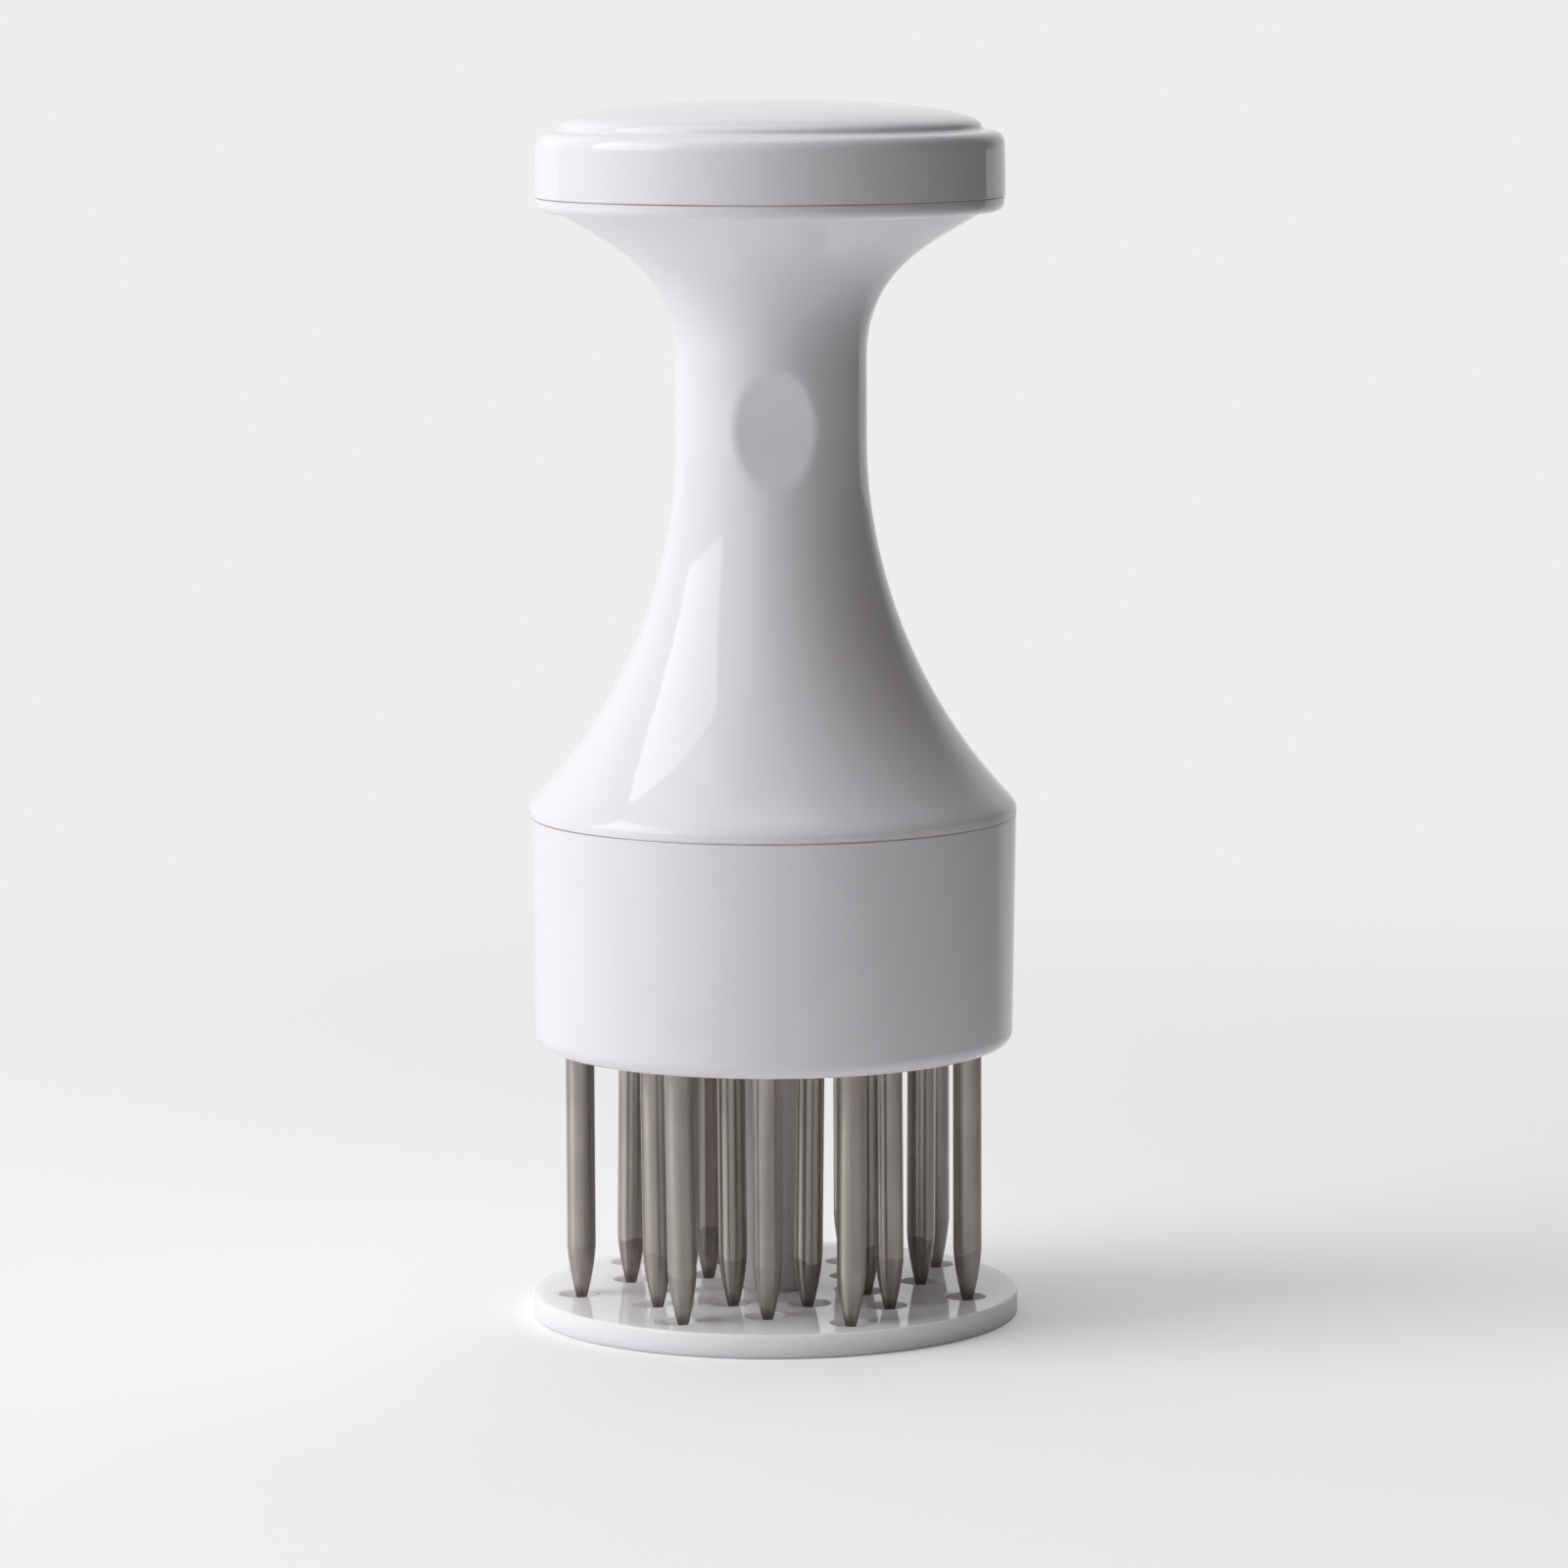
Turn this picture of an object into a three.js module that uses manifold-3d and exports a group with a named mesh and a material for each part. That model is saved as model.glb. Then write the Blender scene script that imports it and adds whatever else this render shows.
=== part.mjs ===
// A hand press meat tenderizer, in millimetres, with +Z up and the origin under the centre of
// the press plate. Steel needles hang from a carrier in the housing. A sprung plate on a stem
// covers their points, and it slides up over them when the handle is pushed down.
import * as THREE from "three";
import { mergeVertices } from "three/addons/utils/BufferGeometryUtils.js";
import Module from "manifold-3d";

const wasm = await Module();
wasm.setup();

// Needle rings: the same number of needles in each, the middle ring turned by half a step
const needlesPerRing = 7;
const ringTurnDegrees = -16.3;
const innerRingGap = 4.05;
const middleRingGap = 5.5;
const outerRingGap = 4.9;

// Needle
const needleRadius = 1.35;
const needleTipRadius = 0.5;
const needleTaper = 5.3;
const needleTipDrop = 0.4;
const needleHeadStep = 0.7;
const needleHeadHeight = 1.2;
const needleFit = 0.2;

// Press plate
const plateThickness = 2.4;
const plateMargin = 2.5;
const plateEdge = 0.4;
const plateHoleClearance = 0.65;
const registerDepth = 0.5;

// Stem with its stop collar, and the spring that stands on the collar
const stemRadius = 3.1;
const guideClearance = 0.15;
const collarThickness = 2.4;
const collarClearance = 1;
const spigotHeight = 4;
const pressTravel = 24.2;
const travelStop = 0.4;
const wireRadius = 0.45;
const springMargin = 0.45;
const springCoils = 11;

// Housing
const housingWall = 1.8;
const housingDraft = 0.35;
const housingEdge = 1.5;
const housingFloor = 2;
const needleMargin = 2.6;
const floorHoleClearance = 0.3;
const bossHeight = 4;
const bossWall = 0.9;
const bossInset = 2.9;
const bossSteps = [0, 2, 5];
const headRoom = 2.9;

// Needle carrier, and the clamp plate with its guide sleeve
const carrierThickness = 4;
const clampThickness = 2.5;
const sleeveWall = 1.9;
const sleeveRise = 12.3;

// Screws
const shankRadius = 1.25;
const shankFit = 0.15;
const screwHeadRadius = 2.2;
const screwHeadHeight = 1.5;
const screwPoint = 0.8;
const screwEndGap = 0.8;
const plateScrewLength = 9;
const sinkHeadRadius = 2.6;
const sinkHeadDepth = 1.3;
const sinkHeadInset = 0.15;
const crossLength = 2.4;
const crossWidth = 0.6;
const crossDepth = 0.7;

// Handle shell, from the seam upwards
const handleWall = 2;
const rimProud = 0.05;
const rimLand = 0.5;
const rimHeight = 1.85;
const rimSet = 0.95;
const bellHeight = 36.4;
const bellTopPull = 8.3;
const bellRimPull = 16.6;
const bellRimDegrees = 42.5;
const neckRadius = 9.4;
const neckLength = 8.4;
const flareHeight = 14.2;
const flareNeckPull = 9.6;
const flareLipPull = 4;
const flareLipDegrees = 52;
const lipHeight = 1.3;
const lipRound = 1;
const lipOverhang = 1.1;
const webRise = 4.1;
const webThickness = 2.5;
const springBossHeight = 3;

// Plug under the handle, and the bead that snaps into a groove
const plugDepth = 4.4;
const plugWall = 1.4;
const beadHeight = 0.6;
const beadWidth = 1.2;

// Oval thumb recess in the front of the neck
const recessDepth = 0.9;
const recessRadius = 20;
const recessLift = 1.5;
const recessTurnDegrees = 2.4;

// Cap
const capRadius = 23;
const capBack = 0.1;
const capWall = 1.4;
const capSkirtHeight = 6.5;
const capEdge = 0.9;
const capLedge = 1.6;
const capStep = 1.1;
const capStepEdge = 0.4;
const capDome = 1.8;
const capRoof = 1.5;
const ringWall = 1.4;

// Gaps that keep touching pieces apart, the seams that show, and how far a cut overruns
const fitGap = 0.3;
const seatGap = 0.1;
const seamGap = 0.2;
const overrun = 1;

// Facets
const shellSides = 48;
const stemSides = 24;
const holeSides = 10;
const curveSteps = 9;
const roundSteps = 3;
const recessSides = 64;
const coilSteps = 8;
const wireSides = 5;
const weld = 1e-4;

const point = (radius, height) => new THREE.Vector2(radius, height);
const radians = THREE.MathUtils.degToRad;
const axis = point(0, 0);

// Radii that follow from the stem outwards
const guideRadius = stemRadius + guideClearance;
const sleeveRadius = guideRadius + sleeveWall;
const innerRingRadius = sleeveRadius + innerRingGap;
const middleRingRadius = innerRingRadius + middleRingGap;
const outerRingRadius = middleRingRadius + outerRingGap;
const plateHoleRadius = needleRadius + plateHoleClearance;
const plateRadius = outerRingRadius + plateHoleRadius + plateMargin;

// The housing holds the needle rings, and is never narrower than the cap
const housingBore = Math.max(outerRingRadius + needleMargin, capRadius - housingWall);
const housingRadius = housingBore + housingWall;
const discRadius = housingBore - fitGap;
const plugRadius = housingBore - fitGap;
const bossCentreRadius = housingBore - bossInset;
const pilotRadius = shankRadius + shankFit;

// Radii that follow from the neck and the cap inwards
const neckBore = neckRadius - handleWall;
const collarRadius = neckBore - collarClearance;
const springRadius = collarRadius - springMargin - wireRadius;
const spigotRadius = springRadius * Math.cos(Math.PI / coilSteps) - wireRadius - springMargin;
const capBore = capRadius - capWall;
const ringRadius = capBore - fitGap;

// Heights, from the underside of the press plate up
const needleTipHeight = plateThickness - needleTipDrop;
const sinkTop = sinkHeadInset + sinkHeadDepth;
const stemBase = plateThickness - registerDepth + seatGap;
const housingBase = plateThickness + pressTravel + travelStop;
const floorTop = housingBase + housingFloor;
const bossTop = floorTop + bossHeight;
const carrierBase = bossTop + seatGap;
const carrierTop = carrierBase + carrierThickness;
const needleHeadBase = carrierTop + seatGap;
const clampBase = needleHeadBase + needleHeadHeight + seatGap;
const clampTop = clampBase + clampThickness;
const screwSeat = clampTop + seatGap;
const sleeveTop = clampTop + sleeveRise;
const collarBase = sleeveTop + seatGap;
const collarTop = collarBase + collarThickness;
const plugBase = screwSeat + screwHeadHeight + headRoom;
const plugBeadHeight = plugBase + beadWidth;
const housingTop = plugBase + plugDepth;
const bellBase = housingTop + seamGap;
const neckBase = bellBase + bellHeight;
const neckTop = neckBase + neckLength;
const springSeat = neckTop + webRise;
const webTop = springSeat + webThickness;
const flareTop = neckTop + flareHeight;
const flangeTop = flareTop + lipHeight;
const capBase = flangeTop + seamGap;
const ledgeHeight = capBase + capSkirtHeight;
const capRoofBase = ledgeHeight - capRoof;
const ringTop = capRoofBase - fitGap;
const ringBeadHeight = (flangeTop + ringTop) / 2;

const whitePlastic = new THREE.MeshStandardMaterial({ color: 0xf0eff1, roughness: 0.22, metalness: 0 });
const innerPlastic = new THREE.MeshStandardMaterial({ color: 0xe6e4df, roughness: 0.5, metalness: 0 });
const needleSteel = new THREE.MeshStandardMaterial({ color: 0x9a958e, roughness: 0.3, metalness: 1 });
const screwSteel = new THREE.MeshStandardMaterial({ color: 0xb4b4b6, roughness: 0.35, metalness: 1 });
const springSteel = new THREE.MeshStandardMaterial({ color: 0x8c8c90, roughness: 0.4, metalness: 1 });

// A closed geometry as a solid that can be cut and joined.
function solidOf(geometry) {
  geometry.deleteAttribute("normal");
  geometry.deleteAttribute("uv");
  const merged = mergeVertices(geometry, weld);
  const mesh = new wasm.Mesh({
    numProp: 3,
    vertProperties: merged.attributes.position.array,
    triVerts: new Uint32Array(merged.index.array),
  });
  return new wasm.Manifold(mesh);
}

// A solid back as flat shaded triangles.
function geometryOf(solid) {
  const mesh = solid.getMesh();
  const indexed = new THREE.BufferGeometry();
  indexed.setAttribute("position", new THREE.BufferAttribute(mesh.vertProperties, 3));
  indexed.setIndex(new THREE.BufferAttribute(mesh.triVerts, 1));
  const geometry = indexed.toNonIndexed();
  geometry.computeVertexNormals();
  return geometry;
}

// An outline of radius and height, turned about an upright axis through a place.
function lathe(outline, sides, place = axis) {
  const geometry = new THREE.LatheGeometry(outline, sides);
  geometry.rotateX(Math.PI / 2);
  geometry.translate(place.x, place.y, 0);
  return solidOf(geometry);
}

// A plain cylinder between two heights.
function rod(radius, base, top, sides, place = axis) {
  const outline = [point(0, base), point(radius, base), point(radius, top), point(0, top)];
  return lathe(outline, sides, place);
}

// Rods of one kind at several places, as one solid.
function rods(places, radius, base, top) {
  const separate = places.map((place) => rod(radius, base, top, holeSides, place));
  return separate.reduce((joined, one) => joined.add(one));
}

// Points on an arc of an outline, with its angles in degrees from the outward direction.
function arc(centre, radius, from, to) {
  return Array.from({ length: roundSteps + 1 }, (_, i) => {
    const angle = radians(from + ((to - from) * i) / roundSteps);
    return point(centre.x + radius * Math.cos(angle), centre.y + radius * Math.sin(angle));
  });
}

// The outline of a ring that stands out from a wall, from its lower edge to its upper one.
function bead(radius, height) {
  return [
    point(radius, height - beadWidth),
    point(radius + beadHeight, height),
    point(radius, height + beadWidth),
  ];
}

// Points along an outer curve, moved in by the thickness of the handle's wall.
function innerLine(curve) {
  return Array.from({ length: curveSteps + 1 }, (_, i) => {
    const along = curve.getTangent(i / curveSteps);
    const inwards = point(-along.y, along.x).multiplyScalar(handleWall);
    return curve.getPoint(i / curveSteps).add(inwards);
  });
}

// The points of a line whose x or y lies between two limits, cut at the limits.
function clipped(points, key, low, high) {
  const kept = [];
  points.forEach((here, i) => {
    if (here[key] >= low && here[key] <= high) kept.push(here);
    const next = points[i + 1];
    if (!next) return;
    const limit = [low, high].find((value) => (here[key] - value) * (next[key] - value) < 0);
    if (limit === undefined) return;
    kept.push(here.clone().lerp(next, (limit - here[key]) / (next[key] - here[key])));
  });
  return kept;
}

// A place at a radius, so many steps round the needle rings.
function placeAt(radius, step) {
  const angle = radians(ringTurnDegrees) - (step * 2 * Math.PI) / needlesPerRing;
  return point(radius * Math.cos(angle), radius * Math.sin(angle));
}

// The names and places of one ring of needles, turned by part of a step.
function ringOf(ring, radius, turn) {
  return Array.from({ length: needlesPerRing }, (_, i) => ({
    name: `needle_${ring}_${i + 1}`,
    place: placeAt(radius, i + turn),
  }));
}

const needles = [
  ...ringOf("outer", outerRingRadius, 0),
  ...ringOf("middle", middleRingRadius, 1 / 2),
  ...ringOf("inner", innerRingRadius, 0),
];
const needlePlaces = needles.map(({ place }) => place);
const bossPlaces = bossSteps.map((step) => placeAt(bossCentreRadius, step + 1 / 2));

// The needle, from its blunt point at zero up to the head that the clamp plate holds down.
function needle() {
  const shaft = needleHeadBase - needleTipHeight;
  const headRadius = needleRadius + needleHeadStep;
  const outline = [
    point(0, 0),
    point(needleTipRadius, 0),
    point(needleRadius, needleTaper),
    point(needleRadius, shaft),
    point(headRadius, shaft),
    point(headRadius, shaft + needleHeadHeight),
    point(0, shaft + needleHeadHeight),
  ];
  return lathe(outline, holeSides);
}

// The round plate that the tool stands on, with a hole for each needle and a seat for the stem.
function pressPlate() {
  const outline = [
    point(0, 0),
    point(plateRadius - plateEdge, 0),
    point(plateRadius, plateEdge),
    point(plateRadius, plateThickness - plateEdge),
    point(plateRadius - plateEdge, plateThickness),
    point(0, plateThickness),
  ];
  const over = plateThickness + overrun;
  return lathe(outline, shellSides)
    .subtract(rods(needlePlaces, plateHoleRadius, -overrun, over))
    .subtract(rod(guideRadius, plateThickness - registerDepth, over, stemSides))
    .subtract(countersink());
}

// The hole for the plate screw, from below the plate up to its top face.
function countersink() {
  const mouthRadius = sinkHeadRadius + shankFit;
  const outline = [
    point(0, -overrun),
    point(mouthRadius, -overrun),
    point(mouthRadius, sinkHeadInset),
    point(pilotRadius, sinkTop),
    point(pilotRadius, plateThickness),
    point(0, plateThickness),
  ];
  return lathe(outline, stemSides);
}

// The stem that carries the press plate, with the collar that stops it and seats the spring.
function pressStem() {
  const outline = [
    point(0, stemBase),
    point(stemRadius, stemBase),
    point(stemRadius, collarBase),
    point(collarRadius, collarBase),
    point(collarRadius, collarTop),
    point(spigotRadius, collarTop),
    point(spigotRadius, collarTop + spigotHeight),
    point(0, collarTop + spigotHeight),
  ];
  const pilotTop = sinkTop + plateScrewLength + fitGap;
  return lathe(outline, stemSides).subtract(rod(pilotRadius, 0, pilotTop, stemSides));
}

// A cross between two heights, which cuts the slot in a screw head.
function cross(base, top) {
  const bar = new THREE.BoxGeometry(crossLength, crossWidth, top - base);
  bar.translate(0, 0, (base + top) / 2);
  const across = bar.clone().rotateZ(Math.PI / 2);
  return solidOf(bar).add(solidOf(across));
}

// The countersunk screw that comes up through the press plate into the stem.
function plateScrew() {
  const end = sinkTop + plateScrewLength;
  const outline = [
    point(0, sinkHeadInset),
    point(sinkHeadRadius, sinkHeadInset),
    point(shankRadius, sinkTop),
    point(shankRadius, end - screwPoint),
    point(shankRadius / 2, end),
    point(0, end),
  ];
  return lathe(outline, holeSides).subtract(cross(-overrun, sinkHeadInset + crossDepth));
}

// The pan head screw, with the underside of its head at zero.
function clampScrew() {
  const reach = screwSeat - floorTop - screwEndGap;
  const outline = [
    point(0, -reach),
    point(shankRadius / 2, -reach),
    point(shankRadius, screwPoint - reach),
    point(shankRadius, 0),
    point(screwHeadRadius, 0),
    point(screwHeadRadius, screwHeadHeight / 2),
    point(screwHeadRadius - screwHeadHeight / 2, screwHeadHeight),
    point(0, screwHeadHeight),
  ];
  const slot = cross(screwHeadHeight - crossDepth, screwHeadHeight + overrun);
  return lathe(outline, holeSides).subtract(slot);
}

// The middle line of the spring, from the stem's collar up to the web in the neck.
function springLine() {
  const base = collarTop + seatGap + wireRadius;
  const top = springSeat - seatGap - wireRadius;
  const steps = springCoils * coilSteps;
  return Array.from({ length: steps + 1 }, (_, i) => {
    const angle = (i * 2 * Math.PI) / coilSteps;
    const height = base + ((top - base) * i) / steps;
    return new THREE.Vector3(springRadius * Math.cos(angle), springRadius * Math.sin(angle), height);
  });
}

// The spring as one unbroken tube, whose corners run round each section in turn.
function returnSpring() {
  const centres = springLine();
  const spacing = centres.slice(coilSteps).map((centre, i) => centre.distanceTo(centres[i]));
  console.log(`return_spring: least gap to itself ${(Math.min(...spacing) - 2 * wireRadius).toFixed(2)} mm`);
  const corners = centres.flatMap((centre) => {
    const outwards = new THREE.Vector3(centre.x, centre.y, 0).normalize();
    return Array.from({ length: wireSides }, (_, side) => {
      const angle = (side * 2 * Math.PI) / wireSides;
      const corner = centre.clone().addScaledVector(outwards, wireRadius * Math.cos(angle));
      corner.z += wireRadius * Math.sin(angle);
      return corner;
    });
  });
  const geometry = new THREE.BufferGeometry().setFromPoints(corners);
  geometry.setIndex(tubeFaces(centres.length - 1));
  return geometry;
}

// The triangles of a tube of so many steps, with its ends closed.
function tubeFaces(steps) {
  const faces = [];
  for (let step = 0; step < steps; step++) {
    for (let side = 0; side < wireSides; side++) {
      const here = step * wireSides + side;
      const beside = step * wireSides + ((side + 1) % wireSides);
      faces.push(here, here + wireSides, beside);
      faces.push(beside, here + wireSides, beside + wireSides);
    }
  }
  const last = steps * wireSides;
  for (let side = 1; side < wireSides - 1; side++) {
    faces.push(0, side, side + 1);
    faces.push(last, last + side + 1, last + side);
  }
  return faces;
}

// The outside of the housing, filled.
function housingBody() {
  const edgeCentre = point(housingRadius - housingDraft - housingEdge, housingBase + housingEdge);
  const outline = [
    point(0, housingBase),
    ...arc(edgeCentre, housingEdge, -90, 0),
    point(housingRadius, housingTop),
    point(0, housingTop),
  ];
  return lathe(outline, shellSides);
}

// The hollow of the housing, with the groove that the handle's plug snaps into.
function housingCavity() {
  const outline = [
    point(0, floorTop),
    point(housingBore, floorTop),
    ...bead(housingBore, plugBeadHeight),
    point(housingBore, housingTop + overrun),
    point(0, housingTop + overrun),
  ];
  return lathe(outline, shellSides);
}

// The cup that the needles come out of, with three screw bosses on its floor.
function lowerHousing() {
  const floorHoleRadius = needleRadius + floorHoleClearance;
  const [under, over] = [housingBase - overrun, floorTop + overrun];
  return housingBody()
    .subtract(housingCavity())
    .add(rods(bossPlaces, pilotRadius + bossWall, floorTop - seatGap, bossTop))
    .subtract(rods(bossPlaces, pilotRadius, floorTop, bossTop + overrun))
    .subtract(rods(needlePlaces, floorHoleRadius, under, over))
    .subtract(rod(stemRadius + fitGap, under, over, stemSides));
}

// The disc that holds the needles upright under their heads.
function needleCarrier() {
  const [under, over] = [carrierBase - overrun, carrierTop + overrun];
  return rod(discRadius, carrierBase, carrierTop, shellSides)
    .subtract(rods(needlePlaces, needleRadius + needleFit, under, over))
    .subtract(rods(bossPlaces, pilotRadius, under, over))
    .subtract(rod(sleeveRadius + fitGap, under, over, stemSides));
}

// The plate over the needle heads, in one piece with the sleeve that guides the stem.
function clampPlate() {
  const sleeveBase = floorTop + seatGap;
  return rod(discRadius, clampBase, clampTop, shellSides)
    .add(rod(sleeveRadius, sleeveBase, sleeveTop, stemSides))
    .subtract(rod(guideRadius, sleeveBase - overrun, sleeveTop + overrun, stemSides))
    .subtract(rods(bossPlaces, pilotRadius, clampBase - overrun, clampTop + overrun));
}

// The outer line of the bell from its rim up to the neck.
function bellCurve() {
  const slope = radians(bellRimDegrees);
  const foot = point(housingRadius + rimProud - rimSet, bellBase + rimHeight);
  return new THREE.CubicBezierCurve(
    foot,
    point(foot.x - bellRimPull * Math.sin(slope), foot.y + bellRimPull * Math.cos(slope)),
    point(neckRadius, neckBase - bellTopPull),
    point(neckRadius, neckBase),
  );
}

// The rounded rim between the seam and the bell.
function rimCurve() {
  const rimRadius = housingRadius + rimProud;
  const foot = bellCurve().getPoint(0);
  const turn = point(rimRadius, foot.y - rimSet / Math.tan(radians(bellRimDegrees)));
  return new THREE.QuadraticBezierCurve(point(rimRadius, bellBase + rimLand), turn, foot);
}

// The outer line of the flare from the neck up to the lip under the cap.
function flareCurve() {
  const slope = radians(flareLipDegrees);
  const head = point(capRadius - capBack - lipRound - lipOverhang, flareTop);
  return new THREE.CubicBezierCurve(
    point(neckRadius, neckTop),
    point(neckRadius, neckTop + flareNeckPull),
    point(head.x - flareLipPull * Math.sin(slope), head.y - flareLipPull * Math.cos(slope)),
    head,
  );
}

// The outside of the handle: plug, bell, neck, flare, lip, and the ring that the cap snaps over.
function handleBody() {
  const lipRadius = capRadius - capBack;
  const outline = [
    point(0, plugBase),
    ...bead(plugRadius, plugBeadHeight),
    point(plugRadius, bellBase),
    point(housingRadius + rimProud, bellBase),
    ...rimCurve().getPoints(roundSteps),
    ...bellCurve().getPoints(curveSteps).slice(1),
    ...flareCurve().getPoints(curveSteps),
    ...arc(point(lipRadius - lipRound, flareTop + lipRound), lipRound, -90, 0),
    point(lipRadius, flangeTop),
    point(ringRadius, flangeTop),
    ...bead(ringRadius, ringBeadHeight),
    point(ringRadius, ringTop),
    point(0, ringTop),
  ];
  return lathe(outline, shellSides);
}

// The hollow below the web, with a spigot left standing inside the top of the spring.
function handleCavity() {
  const plugBore = plugRadius - plugWall;
  const outline = [
    point(0, plugBase - overrun),
    point(plugBore, plugBase - overrun),
    ...clipped(innerLine(bellCurve()), "x", 0, plugBore),
    point(neckBore, springSeat),
    point(spigotRadius, springSeat),
    point(spigotRadius, springSeat - springBossHeight),
    point(0, springSeat - springBossHeight),
  ];
  return lathe(outline, shellSides);
}

// The bowl above the web, which the cap closes.
function handleBowl() {
  const ringBore = ringRadius - ringWall;
  const wall = clipped(innerLine(flareCurve()), "y", webTop, ringTop);
  const outline = [
    point(0, webTop),
    ...clipped(wall, "x", 0, ringBore),
    point(ringBore, ringTop + overrun),
    point(0, ringTop + overrun),
  ];
  return lathe(outline, shellSides);
}

// A wide roller across the front of the neck, which leaves an oval recess where it bites.
function thumbRoller() {
  const roller = new THREE.CylinderGeometry(recessRadius, recessRadius, 2 * neckRadius, recessSides);
  roller.rotateZ(Math.PI / 2);
  roller.translate(0, recessDepth - neckRadius - recessRadius, neckBase + recessLift);
  roller.rotateZ(radians(recessTurnDegrees));
  return solidOf(roller);
}

// The hand grip in one piece.
function handleShell() {
  return handleBody().subtract(handleCavity()).subtract(handleBowl()).subtract(thumbRoller());
}

// The round cap: skirt, stepped top and shallow dome, hollow underneath.
function topCap() {
  const discRim = capRadius - capEdge - capLedge;
  const domeFoot = point(discRim - capStepEdge, ledgeHeight + capStep);
  const domeRadius = (domeFoot.x ** 2 + capDome ** 2) / (2 * capDome);
  const domeCentre = point(0, domeFoot.y + capDome - domeRadius);
  const domeDegrees = THREE.MathUtils.radToDeg(Math.asin(domeFoot.x / domeRadius));
  const outline = [
    point(0, capRoofBase),
    point(capBore, capRoofBase),
    ...bead(capBore, ringBeadHeight).reverse(),
    point(capBore, capBase),
    point(capRadius, capBase),
    ...arc(point(capRadius - capEdge, ledgeHeight - capEdge), capEdge, 0, 90),
    point(discRim, ledgeHeight),
    point(discRim, domeFoot.y - capStepEdge),
    ...arc(domeCentre, domeRadius, 90 - domeDegrees, 90),
  ];
  return lathe(outline, shellSides);
}

// One named mesh, at a place and height of its own.
function piece(name, geometry, material, place = axis, height = 0) {
  const mesh = new THREE.Mesh(geometry, material);
  mesh.name = name;
  mesh.position.set(place.x, place.y, height);
  return mesh;
}

const toolBody = new THREE.Group();
toolBody.add(piece("top_cap", geometryOf(topCap()), whitePlastic));
toolBody.add(piece("handle_shell", geometryOf(handleShell()), whitePlastic));
toolBody.add(piece("lower_housing", geometryOf(lowerHousing()), whitePlastic));
toolBody.add(piece("needle_carrier", geometryOf(needleCarrier()), innerPlastic));
toolBody.add(piece("clamp_plate", geometryOf(clampPlate()), innerPlastic));
toolBody.add(piece("return_spring", returnSpring(), springSteel));

const screwGeometry = geometryOf(clampScrew());
bossPlaces.forEach((place, i) => {
  toolBody.add(piece(`clamp_screw_${i + 1}`, screwGeometry, screwSteel, place, screwSeat));
});

const needleGeometry = geometryOf(needle());
needles.forEach(({ name, place }) => {
  toolBody.add(piece(name, needleGeometry, needleSteel, place, needleTipHeight));
});

const pressGroup = new THREE.Group();
pressGroup.add(piece("press_plate", geometryOf(pressPlate()), whitePlastic));
pressGroup.add(piece("press_stem", geometryOf(pressStem()), whitePlastic));
pressGroup.add(piece("plate_screw", geometryOf(plateScrew()), screwSteel));

const tenderizer = new THREE.Group();
tenderizer.add(toolBody, pressGroup);

export default tenderizer;
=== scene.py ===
"""A hand press meat tenderizer on a pale table in a soft studio, for Blender 4.5.

The object's sizes are in millimetres and are turned into metres where a mesh or a material
is made. What the frame knows is read from it, and the other sizes are the named values
below. The camera's and the studio's values say their own units.
"""
import math
from typing import NamedTuple

import bmesh
import bpy
from mathutils import Matrix, Vector


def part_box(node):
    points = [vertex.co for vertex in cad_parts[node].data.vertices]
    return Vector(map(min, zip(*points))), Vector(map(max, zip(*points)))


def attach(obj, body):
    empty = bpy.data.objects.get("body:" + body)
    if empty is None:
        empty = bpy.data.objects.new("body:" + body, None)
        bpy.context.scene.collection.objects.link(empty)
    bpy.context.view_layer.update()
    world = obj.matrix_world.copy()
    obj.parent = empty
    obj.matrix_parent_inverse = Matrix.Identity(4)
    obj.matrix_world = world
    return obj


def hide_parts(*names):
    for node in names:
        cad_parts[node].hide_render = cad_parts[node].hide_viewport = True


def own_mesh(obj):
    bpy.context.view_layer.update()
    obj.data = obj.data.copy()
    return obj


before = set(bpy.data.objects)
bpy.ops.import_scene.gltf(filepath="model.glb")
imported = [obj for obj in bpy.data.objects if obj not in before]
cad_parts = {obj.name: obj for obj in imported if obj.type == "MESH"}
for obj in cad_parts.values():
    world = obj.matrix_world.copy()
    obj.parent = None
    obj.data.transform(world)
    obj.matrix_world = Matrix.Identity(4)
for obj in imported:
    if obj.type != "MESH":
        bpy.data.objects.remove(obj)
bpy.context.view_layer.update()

MM = 0.001

# Bodies of the frame
TOOL = "tool_body"
PRESS = "press_assembly"

# Needle
NEEDLE_RADIUS = 1.41
NEEDLE_TIP_RADIUS = 0.5
NEEDLE_TIP_EDGE = 0.12
NEEDLE_TAPER = 5.3
NEEDLE_TAPER_PULL = 0.18
NEEDLE_HEAD_HEIGHT = 1.2

# How far the needles stand aside in their holes along X, and how much further some points lean
# from the height where a needle is held
NEEDLE_SHIFT = 0.2
NEEDLE_ROOT = 35.0
TIP_LEAN = {
    "needle_middle_4": -0.5,
    "needle_middle_3": 0.35,
    "needle_middle_1": 0.15,
    "needle_middle_7": -0.15,
    "needle_outer_3": 0.45,
    "needle_outer_2": -0.25,
    "needle_inner_3": 0.2,
    "needle_inner_2": -0.45,
}

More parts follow.
